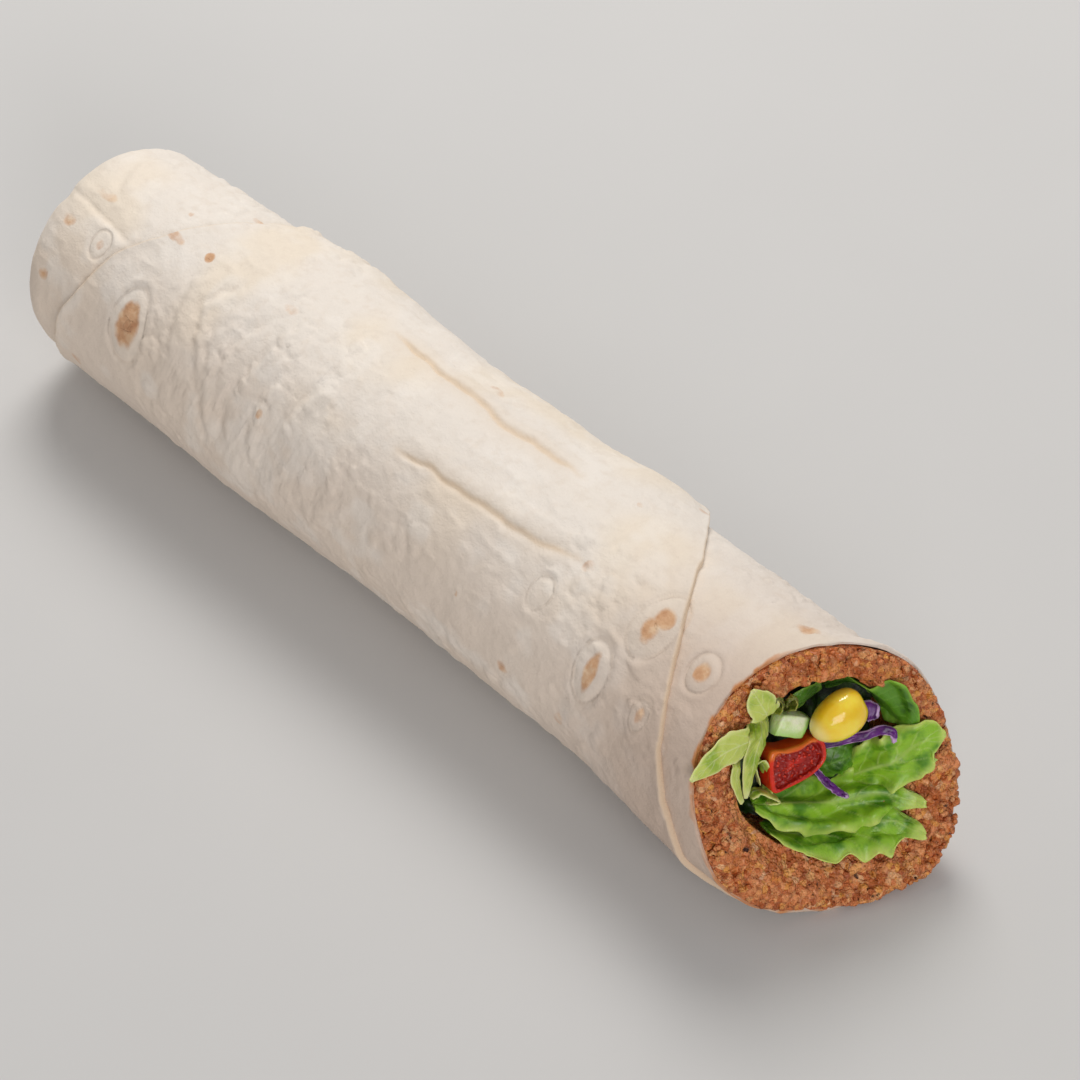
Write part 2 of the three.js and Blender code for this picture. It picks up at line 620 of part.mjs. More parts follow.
function prism(outline, back, front) {
  const shape = new THREE.Shape(outline.map(([u, w]) => new THREE.Vector2(u, w)));
  const block = new THREE.ExtrudeGeometry(shape, { depth: front - back, bevelEnabled: false });
  return solidFromGeometry(placeOnCut(block, [0, 0, back], 0));
}

function aboutMiddle(outline, grow) {
  const middle = outline.reduce(([u, w], p) => [u + p[0] / outline.length, w + p[1] / outline.length], [0, 0]);
  return outline.map(([u, w]) => {
    const [du, dw] = [u - middle[0], w - middle[1]];
    const reach = sqrt(du * du + dw * dw);
    return [u + du / reach * grow, w + dw / reach * grow];
  });
}

// A piece cut across a small red pepper: a rim of skin round a sunken face of flesh.
function pepper(grow = 0) {
  const body = prism(aboutMiddle(PEPPER_OUTLINE, grow), PEPPER_FRONT - PEPPER_DEPTH - grow, PEPPER_FRONT + grow);
  if (grow > 0) return body;
  return body.subtract(prism(PEPPER_FACE, PEPPER_FRONT - 1, PEPPER_FRONT + 1));
}

const CUCUMBER = { centre: [-4.8, 12.4, -2.6], width: 6.6, height: 4.6, depth: 4, lean: -28 };

// A small block of cucumber with blunt edges.
function cucumber(grow = 0) {
  const blunt = 0.5;
  const half = [CUCUMBER.width / 2 - blunt, CUCUMBER.height / 2 - blunt];
  const shape = new THREE.Shape([
    new THREE.Vector2(-half[0], -half[1]), new THREE.Vector2(half[0], -half[1]),
    new THREE.Vector2(half[0], half[1]), new THREE.Vector2(-half[0] * 0.8, half[1]),
  ]);
  const block = new THREE.ExtrudeGeometry(shape, {
    depth: CUCUMBER.depth - 2 * blunt,
    bevelThickness: blunt + grow,
    bevelSize: blunt + grow,
    bevelSegments: 2,
  });
  block.translate(0, 0, -(CUCUMBER.depth - 2 * blunt) / 2);
  return solidFromGeometry(placeOnCut(block, CUCUMBER.centre, CUCUMBER.lean));
}

// ---------------------------------------------------------------- assembly
const union = (solids) => wasm.Manifold.union(solids);

// All greens and shreds that show at the cut. grow makes the room that they need in their neighbours.
function greens(grow = 0) {
  return union([
    ...Object.values(LEAVES).map((one) => leaf(one, grow)),
    ...Object.values(SHREDS).map((one) => strip(one, grow)),
  ]);
}

const kernel = corn();
const block = cucumber();
const slice = pepper().subtract(corn(LEAF_GAP)).subtract(cucumber(LEAF_GAP));
const toppingRoom = union([corn(LEAF_GAP), cucumber(LEAF_GAP), pepper(LEAF_GAP)]);
const salad = largestBody(union([saladCore(), greens()]).subtract(toppingRoom));
const room = union([toppingRoom, greens(LEAF_GAP), greens()]);

function piece(name, solid, color, roughness) {
  const { vertProperties, triVerts } = largestBody(solid).getMesh();
  const geometry = new THREE.BufferGeometry();
  geometry.setAttribute('position', new THREE.BufferAttribute(vertProperties, 3));
  geometry.setIndex(new THREE.BufferAttribute(triVerts, 1));
  const mesh = new THREE.Mesh(geometry, new THREE.MeshStandardMaterial({ color, roughness, metalness: 0 }));
  mesh.name = name;
  return mesh;
}

const wrap = new THREE.Group();
wrap.add(
  piece('flatbread', flatbread().subtract(room), '#e6dccb', 0.85),
  piece('bulgur_paste', bulgurPaste().subtract(room), '#a8512a', 0.75),
  piece('salad', salad, '#7aa62f', 0.5),
  piece('corn_kernel', kernel, '#e5b411', 0.25),
  piece('red_pepper', slice, '#c4220f', 0.25),
  piece('cucumber', block, '#b6d38d', 0.3),
);

export default wrap;
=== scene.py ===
"""A durum wrap: flatbread rolled round spiced bulgur paste and salad, cut off at a slant.

Sizes are millimetres and degrees in the frame of the CAD part: the roll lies along X on the table, with
its tucked end at -X and its cut at +X. Angles run round the roll: 0 points along +Y and 90 straight up.
"""
from math import pi, radians

import bpy
import numpy as np
from mathutils import Matrix, Vector


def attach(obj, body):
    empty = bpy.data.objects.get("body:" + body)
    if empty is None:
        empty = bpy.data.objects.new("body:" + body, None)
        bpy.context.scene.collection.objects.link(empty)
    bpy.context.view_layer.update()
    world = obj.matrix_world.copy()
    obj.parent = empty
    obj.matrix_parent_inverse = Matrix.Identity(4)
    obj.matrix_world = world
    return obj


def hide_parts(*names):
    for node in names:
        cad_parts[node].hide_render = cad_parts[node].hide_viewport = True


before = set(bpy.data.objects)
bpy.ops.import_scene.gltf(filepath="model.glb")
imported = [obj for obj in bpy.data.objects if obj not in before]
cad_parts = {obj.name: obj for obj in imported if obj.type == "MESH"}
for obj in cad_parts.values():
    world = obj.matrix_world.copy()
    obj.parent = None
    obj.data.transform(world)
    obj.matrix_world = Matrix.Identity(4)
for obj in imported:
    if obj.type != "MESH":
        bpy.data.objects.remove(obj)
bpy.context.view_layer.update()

# ---------------------------------------------------------------- driving dimensions
TUCKED_END = -102.0
CUT_CENTRE = 101.5
AXIS_HEIGHT = 24.6
ROLL_RADIUS = 24.0          # outside of the inner turns of bread
SHEET = 1.0                 # step at the edge of the outer turn
WALL = 1.3                  # inner turns of bread, together
GAP = 0.3
END_ROUNDING = 8.0
CUT_LEAN_Y = 0.304
CUT_LEAN_Z = -0.471
TONGUE_FADE = 322.0         # angle where the outer turn has sunk into the inner ones
TONGUE_FADING = 58.0        # degrees that it takes to sink
TONGUE_DEPTH = 1.2          # how far under their outside it ends
PASTE_GRAIN = 1.25
CAVITY_HALF_WIDTH = 17.2
CAVITY_HALF_HEIGHT = 15.8
CAVITY_RAISED = 2.3
CORE_RECESS = 9.0
RIM_WALL = 0.85             # the bread thins towards its rim at the cut
PASTE_LIP = 1.6             # how deep the paste falls at the edge of the hollow
LEAF_LIP = (-0.6, 1.6)      # depths between which a leaf leaves the hollow
LEAF_CLEARANCE = 1.9        # of a leaf's middle above the paste


# ---------------------------------------------------------------- numbers on arrays
def smooth(start, end, value):
    t = np.clip((value - start) / (end - start), 0, 1)
    return t * t * (3 - 2 * t)


def band(start, full, fading, end, value):
    """Rises from 0 to 1 between start and full, and falls again between fading and end."""
    return smooth(start, full, value) * (1 - smooth(fading, end, value))


def lerp(a, b, t):
    return a + (b - a) * t


def hill(value, centre, half_width):
    """A smooth hill of height 1, gone beyond about two half widths."""
    return np.exp(-(((value - centre) / half_width) ** 2))


def dome(distance, radius):
    """Height of a half ball of a radius, 1 at its middle."""
    return np.sqrt(np.clip(1 - (distance / radius) ** 2, 0, 1))


def points_of(*axes):
    """Points from their coordinates, each an array or one number for all."""
    return np.stack(np.broadcast_arrays(*axes), -1)


def turn(start, end):
    """Signed difference of two angles, from -180 to 180."""
    return (end - start + 540) % 360 - 180


def round_values(table, angle):
    """Soft closed curve through values given at angles from 0 to 360."""
    places, values = np.array(list(table) + [(360, table[0][1])], float).T
    a = np.mod(angle, 360)
    i = np.clip(np.searchsorted(places, a, side="right") - 1, 0, len(places) - 2)
    return lerp(values[i], values[i + 1], smooth(places[i], places[i + 1], a))


def line_values(table, place):
    """Straight line through values given at rising places, level beyond its ends."""
    places, values = np.array(table, float).T
    return np.interp(place, places, values)


def random_of(ix, iy, iz, seed):
    """A random number from 0 to 1 for each cell of a grid."""
    n = (ix * 73856093) ^ (iy * 19349663) ^ (iz * 83492791) ^ (seed * 2654435761)
    n = (n ^ (n >> 13)) * 1274126177 & 0xFFFFFFFF
    n = (n ^ (n >> 16)) * 2246822519 & 0xFFFFFFFF
    return ((n ^ (n >> 15)) & 0xFFFFFF) / float(0xFFFFFF)


def noise(points, size, seed=0):
    """Smooth noise between -1 and 1 with features of the given size; size may differ by axis."""
    p = points / size
    cell = np.floor(p).astype(np.int64)
    f = p - cell
    f = f * f * f * (f * (f * 6 - 15) + 10)
    total = 0
    for corner in np.ndindex(2, 2, 2):
        weight = np.prod([f[..., k] if corner[k] else 1 - f[..., k] for k in range(3)], axis=0)
        total = total + weight * random_of(*(cell[..., k] + corner[k] for k in range(3)), seed)
    return 2 * total - 1


def rough_noise(points, size, octaves=3, seed=0):
    """Noise with finer noise added, each octave half as large and half as strong."""
    size = np.array(size)
    return sum(0.5 ** i * noise(points + 17.3 * i, size / 2 ** i, seed + i) for i in range(octaves))


def grains(points, size, seed=0):
    """Distance to the nearest of scattered grains, in grain sizes, and that grain's random number."""
    p = points / size
    cell = np.floor(p).astype(np.int64)
    nearest = np.full(p.shape[:-1], 9.0)
    number = np.zeros(p.shape[:-1])
    for step in np.ndindex(3, 3, 3):
        here = cell + np.array(step) - 1
        keys = tuple(here[..., k] for k in range(3))
        centre = here + np.stack([random_of(*keys, seed + k) for k in range(3)], -1)
        distance = np.linalg.norm(p - centre, axis=-1)
        closer = distance < nearest
        nearest = np.where(closer, distance, nearest)
        number = np.where(closer, random_of(*keys, seed + 3), number)
    return nearest, number


# ---------------------------------------------------------------- the cut and its own axes
CUT_NORMAL = np.array([1, -CUT_LEAN_Y, -CUT_LEAN_Z])
CUT_NORMAL /= np.linalg.norm(CUT_NORMAL)
CUT_RIGHT = np.cross([0, 0, 1], CUT_NORMAL)
CUT_RIGHT /= np.linalg.norm(CUT_RIGHT)
CUT_UP = np.cross(CUT_NORMAL, CUT_RIGHT)
CUT_ORIGIN = np.array([CUT_CENTRE, 0, AXIS_HEIGHT])


def from_cut(points):
    """Points (u to the right, w up the slope, d out of the cut) in the frame of the part."""
    p = np.asarray(points, float)
    return CUT_ORIGIN + p[..., :1] * CUT_RIGHT + p[..., 1:2] * CUT_UP + p[..., 2:] * CUT_NORMAL


def cut_x(y, z, out=0.0):
    """Where the cut is at a place across the roll."""
    return CUT_CENTRE + CUT_LEAN_Y * y + CUT_LEAN_Z * (z - AXIS_HEIGHT) + out / CUT_NORMAL[0]


def rim_x(radius, angle, out=0.0):
    """Where the cut meets a radius of the roll."""
    a = np.radians(angle)
    return cut_x(radius * np.cos(a), AXIS_HEIGHT + radius * np.sin(a), out)


# ---------------------------------------------------------------- outside of the roll
RIM_FLARE = [
    (0, 0.2), (38, 2.3), (76, 1.5), (120, 2), (144, 2.8), (178, 2.9), (202, 4.4), (216, 4), (246, 1),
    (270, 1), (298, 1.8), (315, 1.5), (340, 0.4),
]
UPPER_SIDE = 34.0
FLARE_START_UPPER = 90.0
FLARE_START_LOWER = 52.0
END_FOLDS = [(117, 24), (232, 10), (352, 12)]       # angle and reach along the roll
END_FOLD_DEPTH = 0.5
END_FOLD_WIDTH = 6.0
END_TAPER = 1.4
TONGUE_RIGHT = [
    (0, 9), (6, 28), (18, 43), (34, 50), (50, 55), (77, 63), (106, 70.5), (126, 74.5), (153, 81), (180, 87),
    (200, 91), (218, 97), (236, 109), (250, 122),
]
TONGUE_LEFT = [
    (0, -9), (6, -30), (18, -46), (34, -54), (52, -59), (76, -64), (100, -70.5), (125, -78), (148, -83),
    (180, -88), (240, -93),
]
LIFTS = [                                           # x, length, angle, spread, height
    (-42, 16, 40, 42, 1.9), (41, 11, 30, 40, 2.1), (14, 13, 38, 30, 0.5), (-13, 7, 55, 12, 0.9),
    (-35, 14, 205, 40, 0.5), (14, 26, 205, 45, -0.5),
]
FOLDS = [                                           # lines of (angle, x)
    [(105, -58), (114, -59.7), (135, -58.3), (152, -56)],
    [(100, -49.5), (109, -51.5), (121, -54.3), (145, -49.7), (160, -46)],
    [(118, -46.5), (127, -48.7), (148, -46.6), (164, -43.5), (178, -41)],
    [(108, -40), (122, -42), (138, -43.5), (150, -42)],
    [(112, -35), (127, -36.7), (154, -38.9), (172, -37)],
    [(122, -29), (136, -31), (155, -32), (170, -30)],
    [(116, -20), (134, -23.5), (152, -24.5)],
]
CREASES = [                                         # line of (x, angle), from, to, height, width
    ([(-18, 75), (-4, 76), (12, 80), (31, 80)], -22, 36, 0.9, 3.6),
    ([(0, 122), (8, 120), (14, 120), (27, 117), (45, 112)], -2, 50, 0.65, 5),
]


def upper_share(angle):
    """1 on the upper side of the roll, falling to 0 on the lower one."""
    return 0.5 + 0.5 * np.cos(np.radians(angle - UPPER_SIDE))


def flare(x, angle):
    """How much the roll widens towards its rim."""
    start = lerp(FLARE_START_LOWER, FLARE_START_UPPER, upper_share(angle))
    rim = rim_x(ROLL_RADIUS, angle)
    return round_values(RIM_FLARE, angle) * smooth(np.minimum(start, rim - 9), rim, x)


def end_fold(x, angle):
    """Depth of the folds that notch the outline of the tucked end."""
    deepest = 0
    for place, reach in END_FOLDS:
        along = 1 - smooth(TUCKED_END + reach / 2, TUCKED_END + reach, x)
        deepest = np.maximum(deepest, along * hill(turn(place, angle), 0, END_FOLD_WIDTH))
    return END_FOLD_DEPTH * deepest


def inner_turn_radius(x, angle):
    taper = END_TAPER * upper_share(angle) * (1 - smooth(TUCKED_END + 6, TUCKED_END + 34, x))
    return ROLL_RADIUS + flare(x, angle) - taper - end_fold(x, angle)


def crease_place(x, angle, line, start, end):
    """Degrees below a wandering crease, and how strong the crease is there."""
    p = points_of(x + start, 0, 0)
    off = angle - line_values(line, x) + 1.8 * noise(p, 9.0, 133) + 0.7 * noise(p, 3.5, 137)
    return off, band(start, start + 8, end - 12, end, x)


def crease(x, angle, line, start, end, height, width):
    """A narrow valley with the bread raised on its upper side."""
    off, strength = crease_place(x, angle, line, start, end)
    ridge = hill(off, -width, 1.1 * width)
    valley = hill(off, 0.2 * width, (0.2 + 0.35 * smooth(start, end, x)) * width)
    return height * strength * (0.6 * ridge - 0.6 * valley)


def outer_turn_radius(x, angle):
    sink = (SHEET + TONGUE_DEPTH) * smooth(TONGUE_FADE - TONGUE_FADING, TONGUE_FADE, angle)
    lifts = sum(h * hill(x, at, length) * hill(angle, a, spread) for at, length, a, spread, h in LIFTS)
    creases = sum(crease(x, angle, *one) for one in CREASES)
    return inner_turn_radius(x, angle) + SHEET + lifts + creases - sink


def roll_points(x, angle, radius, clear):
    """Points of the bread, no lower than clear above the table."""
    a = np.radians(angle)
    return points_of(x, radius * np.cos(a), np.maximum(AXIS_HEIGHT + radius * np.sin(a), clear))


# ---------------------------------------------------------------- meshes
def make_mesh(name, points, faces, fields=None):
    """A smooth mesh from points in millimetres, with named values at its points."""
    mesh = bpy.data.meshes.new(name)
    mesh.from_pydata((np.asarray(points) * 0.001).tolist(), [], faces)
    for key, values in (fields or {}).items():
        attribute = mesh.attributes.new(key, "FLOAT", "POINT")
        attribute.data.foreach_set("value", np.asarray(values, float).reshape(-1))
    mesh.polygons.foreach_set("use_smooth", [True] * len(mesh.polygons))
    mesh.update()
    obj = bpy.data.objects.new(name, mesh)
    bpy.context.scene.collection.objects.link(obj)
    return obj


def ring_mesh(name, rings, caps=True, fields=None):
    """A mesh from rings of points, with caps closed round a middle point at both ends."""
    rows, columns = rings.shape[:2]
    i, j = np.meshgrid(np.arange(rows - 1), np.arange(columns), indexing="ij")
    k = (j + 1) % columns
    faces = points_of(i * columns + j, i * columns + k, (i + 1) * columns + k, (i + 1) * columns + j)
    faces = faces.reshape(-1, 4).tolist()
    points = rings.reshape(-1, 3)
    if caps:
        last, pole = (rows - 1) * columns, rows * columns
        for j in range(columns):
            k = (j + 1) % columns
            faces.append([pole, k, j])
            faces.append([pole + 1, last + j, last + k])
        points = np.vstack([points, rings[0].mean(0), rings[-1].mean(0)])
        fields = {key: np.append(values, [0.0, 0.0]) for key, values in (fields or {}).items()}
    return make_mesh(name, points, faces, fields)


def outward(grid, closed_round=True):
    """Unit normals of a grid of points."""
    along = np.gradient(grid, axis=0)
    if closed_round:
        across = (np.roll(grid, -1, 1) - np.roll(grid, 1, 1)) / 2
    else:
        across = np.gradient(grid, axis=1)
    normal = np.cross(across, along)
    return normal / np.maximum(np.linalg.norm(normal, axis=-1, keepdims=True), 1e-9)


def dress(obj, material, node):
    obj.data.materials.append(material)
    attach(obj, "root")
    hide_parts(node)


# ---------------------------------------------------------------- materials
def srgb(red, green, blue):
    """A colour as it is seen, from 0 to 255, as the linear numbers that shaders take."""
    shares = (red / 255, green / 255, blue / 255)
    return tuple(((c + 0.055) / 1.055) ** 2.4 if c > 0.0405 else c / 12.92 for c in shares)


class Nodes:
    """A material's node tree, with short names for what the materials here use."""

    def __init__(self, name, roughness, **inputs):
        self.material = bpy.data.materials.new(name)
        self.material.use_nodes = True
        self.tree = self.material.node_tree
        self.shader = self.tree.nodes["Principled BSDF"]
        self.shader.inputs["Roughness"].default_value = roughness
        for key, value in inputs.items():
            self.shader.inputs[key.replace("_", " ")].default_value = value
        self.place = self.tree.nodes.new("ShaderNodeTexCoord").outputs["Object"]

    def node(self, kind, links=(), **settings):
        made = self.tree.nodes.new("ShaderNode" + kind)
        for key, value in settings.items():
            setattr(made, key, value)
        for key, value in dict(links).items():
            socket = made.inputs[key]
            if isinstance(value, bpy.types.NodeSocket):
                self.tree.links.new(value, socket)
            else:
                socket.default_value = value
        return made

    def noise(self, size, detail=3.0, roughness=0.55, vector=None):
        """Noise with features of a size in millimetres."""
        return self.node("TexNoise", {
            "Vector": vector or self.place, "Scale": 1000 / size, "Detail": detail, "Roughness": roughness,
        }).outputs["Fac"]

    def cells(self, size, smoothness=None, vector=None, output="Distance"):
        """Distance to the middle of a cell of a size in millimetres, or its colour."""
        links = {"Vector": vector or self.place, "Scale": 1000 / size}
        feature = "F1"
        if smoothness is not None:
            feature, links["Smoothness"] = "SMOOTH_F1", smoothness
        return self.node("TexVoronoi", links, feature=feature).outputs[output]

    def unrolled(self, slant, squeeze):
        """Coordinates on the unrolled bread: along the roll, slanting, and round it, squeezed."""
        x, y, z = self.node("SeparateXYZ", {0: self.place}).outputs
        turned = self.math("ARCTAN2", y, self.minus(z, AXIS_HEIGHT * 0.001))
        arc = self.times(turned, -ROLL_RADIUS * 0.001)
        along = self.plus(x, self.times(arc, slant))
        return self.node("CombineXYZ", {0: along, 1: self.times(arc, squeeze)}).outputs[0]

    def value(self, name):
        return self.node("Attribute", attribute_name=name).outputs["Fac"]

    def math(self, operation, a, b=0.0):
        return self.node("Math", {0: a, 1: b}, operation=operation).outputs[0]

    def times(self, a, b):
        return self.math("MULTIPLY", a, b)

    def plus(self, a, b):
        return self.math("ADD", a, b)

    def minus(self, a, b):
        return self.math("SUBTRACT", a, b)

    def off_middle(self, value):
        """How far a noise is from its middle value."""
        return self.math("ABSOLUTE", self.minus(value, 0.5))

    def span(self, value, low, high, to_low=0.0, to_high=1.0):
        return self.node("MapRange", {
            "Value": value, "From Min": low, "From Max": high, "To Min": to_low, "To Max": to_high,
        }, interpolation_type="SMOOTHSTEP").outputs[0]

    def mix(self, amount, a, b):
        """A blend of two colours, given as sockets or as seen, from 0 to 255."""
        made = self.tree.nodes.new("ShaderNodeMix")
        made.data_type = "RGBA"
        for socket, value in ((made.inputs[0], amount), (made.inputs[6], a), (made.inputs[7], b)):
            if isinstance(value, bpy.types.NodeSocket):
                self.tree.links.new(value, socket)
            else:
                socket.default_value = value if isinstance(value, (int, float)) else (*srgb(*value), 1)
        return made.outputs[2]

    def tint(self, color, field, share, shade):
        """The colour with a share of a shade where a value of the mesh is 1."""
        return self.mix(self.times(self.value(field), share), color, shade)

    def between(self, value, low, high):
        """One of two shades, by whether a value is low or high."""
        return self.mix(self.span(value, 0.35, 0.65), low, high)

    def ramp(self, value, stops):
        made = self.node("ValToRGB", {0: value})
        elements = made.color_ramp.elements
        while len(elements) < len(stops):
            elements.new(0.5)
        for element, (place, color) in zip(elements, stops):
            element.position = place
            element.color = (*srgb(*color), 1)
        return made.outputs[0]

    def bump(self, height, distance, normal=None):
        """Relief of a height in millimetres for a value from 0 to 1."""
        links = {"Height": height, "Distance": distance * 0.001, "Strength": 1.0}
        if normal is not None:
            links["Normal"] = normal
        return self.node("Bump", links).outputs[0]

    def finish(self, color, normal=None, roughness=None):
        self.tree.links.new(color, self.shader.inputs["Base Color"])
        if normal is not None:
            self.tree.links.new(normal, self.shader.inputs["Normal"])
        if roughness is not None:
            self.tree.links.new(roughness, self.shader.inputs["Roughness"])
        return self.material


def bread_material():
    n = Nodes("flatbread", 0.8, Specular_IOR_Level=0.25)
    color = n.mix(n.value("warm"), (238, 229, 219), (240, 227, 210))
    # Painted shade: the side of the roll turned away from the key light, full from 165 to 300 degrees,
    # darker and warmer.
    color = n.tint(color, "shade", 0.85, (233, 216, 200))
    color = n.tint(color, "light", 0.4, (246, 239, 231))
    color = n.mix(n.span(n.noise(2.2, 4), 0.45, 0.75, 0, 0.3), color, (224, 209, 193))
    color = n.tint(color, "damp", 0.85, (204, 182, 166))
    # A yellow tinge along creases and edges, with painted shade down the crease valleys.
    color = n.tint(color, "stain_and_shade", 0.5, (222, 190, 148))
    color = n.tint(color, "halo", 0.2, (244, 234, 220))
    # Painted shade: the groove round the larger toasted spots is darkened as well as sunk by the bump
    # below.
    groove = n.span(n.math("ABSOLUTE", n.value("groove")), 0.0, 0.45, 1, 0)
    groove = n.times(groove, n.span(n.noise(5, 2), 0.35, 0.6, 0.15, 1))
    color = n.mix(n.times(groove, 0.16), color, (196, 172, 148))
    toasted = n.value("toast")
    spread = n.times(n.minus(n.noise(3.6, 4), 0.5), 1.2)
    patch = n.times(n.plus(toasted, spread), n.span(toasted, 0.02, 0.35))
    tan = n.ramp(n.noise(2.6, 4), [(0.3, (190, 134, 92)), (0.5, (216, 168, 126)), (0.7, (234, 202, 166))])
    color = n.mix(n.span(patch, 0.15, 0.8, 0, 0.92), color, tan)
    cracks = n.span(n.off_middle(n.noise(3.4, 3)), 0.0, 0.03, 1, 0)
    cracks = n.times(cracks, n.span(toasted, 0.93, 0.99, 0, 0.6))
    color = n.mix(cracks, color, (136, 88, 60))
    color = n.mix(n.value("oil"), color, (206, 132, 70))
    fine = n.times(n.noise(0.45, 2), 0.3)
    fine = n.bump(n.plus(n.times(n.noise(1.3), 0.7), fine), 0.25)
    wrinkle = n.off_middle(n.noise(3.2, 2, 0.5, n.unrolled(0.16, 0.2)))
    wrinkle = n.times(n.span(wrinkle, 0.0, 0.16, 1, 0), n.value("folds"))
    fine = n.bump(wrinkle, 0.1, fine)
    return n.finish(color, n.bump(groove, -0.14, fine), n.span(toasted, 0.3, 0.9, 0.82, 0.6))


def paste_material():
    n = Nodes("bulgur_paste", 0.4, Specular_IOR_Level=0.5, Subsurface_Weight=0.12, Subsurface_Scale=0.0015,
              Subsurface_Radius=(1.0, 0.4, 0.2))
    shift = n.node("TexNoise", {"Vector": n.place, "Scale": 900.0, "Detail": 2.0}).outputs["Color"]
    shift = n.node("VectorMath", {0: shift, 1: (0.0007, 0.0007, 0.0007)}, operation="MULTIPLY").outputs[0]
    wobble = n.node("VectorMath", {0: n.place, 1: shift}, operation="ADD").outputs[0]
    kind = n.cells(PASTE_GRAIN, output="Color", vector=wobble)
    color = n.ramp(n.node("SeparateColor", {0: kind}).outputs[0], [
        (0.0, (180, 92, 46)), (0.25, (216, 124, 70)), (0.5, (230, 146, 92)), (0.72, (238, 162, 104)),
        (0.88, (242, 166, 80)), (1.0, (246, 192, 148)),
    ])
    color = n.mix(n.span(n.noise(7), 0.4, 0.7, 0, 0.5), color, (202, 112, 46))
    color = n.mix(n.span(n.noise(3.5), 0.58, 0.76, 0, 0.55), color, (234, 152, 52))
    # Painted shade: darker colour in the gaps between the grains.
    between_grains = n.span(n.cells(PASTE_GRAIN, vector=wobble), 0.45, 0.75, 0, 0.4)
    color = n.mix(between_grains, color, (120, 52, 28))
    # Painted shade: the small pits are darkened, and also sunk by the bump below.
    pits = n.span(n.noise(2.1, 3, 0.6), 0.27, 0.36, 1, 0)
    color = n.mix(pits, color, (62, 28, 20))
    small_grains = n.span(n.cells(0.62, smoothness=0.3, vector=wobble), 0.1, 0.75, 1, 0)
    height = n.minus(small_grains, n.times(pits, 1.2))
    return n.finish(color, n.bump(height, 0.35), n.span(n.noise(2.5), 0.35, 0.65, 0.3, 0.55))


def leaf_material(name, body, edge, vein, dark):
    """Lettuce: colour runs from the body to the rim, with branching pale veins."""
    n = Nodes(name, 0.36, Specular_IOR_Level=0.5, Subsurface_Weight=0.25, Subsurface_Scale=0.0015,
              Subsurface_Radius=(0.6, 1.0, 0.15))
    color = n.mix(n.span(n.noise(4), 0.4, 0.68), body, dark)
    rim = n.plus(n.value("rim"), n.times(n.noise(3), 0.25))
    color = n.mix(n.span(rim, 0.45, 1.15), color, edge)
    color = n.tint(color, "vein", 0.6, vein)
    relief = n.plus(n.noise(1.6), n.times(n.value("vein"), 0.5))
    return n.finish(color, n.bump(relief, 0.2))


def cabbage_material():
    n = Nodes("red_cabbage", 0.3, Specular_IOR_Level=0.5, Subsurface_Weight=0.1, Subsurface_Scale=0.001)
    color = n.between(n.noise(2.5), (104, 26, 130), (66, 10, 88))
    color = n.mix(n.span(n.value("rim"), 0.5, 0.85), color, (206, 168, 216))
    return n.finish(color, n.bump(n.noise(1.0), 0.15))


def pepper_material():
    n = Nodes("red_pepper", 0.2, Specular_IOR_Level=0.4, Subsurface_Weight=0.15, Subsurface_Scale=0.001,
              Subsurface_Radius=(1.0, 0.2, 0.1), Coat_Weight=0.2, Coat_Roughness=0.08)
    skin = n.between(n.noise(5, 2), (228, 52, 20), (204, 28, 10))
    spots = n.span(n.cells(0.9), 0.15, 0.5)
    flesh = n.mix(spots, (222, 52, 20), (150, 14, 4))
    color = n.mix(n.value("flesh"), skin, flesh)
    color = n.mix(n.value("orange"), color, (232, 122, 40))
    height = n.times(n.minus(1.0, spots), n.value("flesh"))
    return n.finish(color, n.bump(height, 0.3), n.span(n.value("flesh"), 0.2, 0.8, 0.16, 0.42))


def cucumber_material():
    n = Nodes("cucumber", 0.28, Specular_IOR_Level=0.5, Subsurface_Weight=0.3, Subsurface_Scale=0.0015,
              Subsurface_Radius=(0.7, 1.0, 0.4))
    color = n.between(n.noise(2.5), (240, 247, 214), (212, 232, 160))
    color = n.mix(n.value("rind"), color, (142, 204, 72))
    return n.finish(color, n.bump(n.noise(0.8), 0.15))


def corn_material():
    n = Nodes("corn", 0.16, Specular_IOR_Level=0.5, Subsurface_Weight=0.35, Subsurface_Scale=0.002,
              Subsurface_Radius=(1.0, 0.6, 0.1), Coat_Weight=0.5, Coat_Roughness=0.06)
    color = n.between(n.noise(4, 2), (255, 224, 70), (250, 206, 38))
    color = n.mix(n.value("pale"), color, (246, 226, 140))
    return n.finish(color, n.bump(n.noise(1.5, 2), 0.06))


def core_material():
    n = Nodes("salad_core", 0.45, Specular_IOR_Level=0.4)
    # The greens' own colour, darkened with painted shade because they sit deep in the hollow.
    color = n.mix(n.span(n.noise(3, 4), 0.38, 0.62), (46, 74, 20), (18, 32, 10))
    return n.finish(color, n.bump(n.noise(2.2, 4), 0.8))


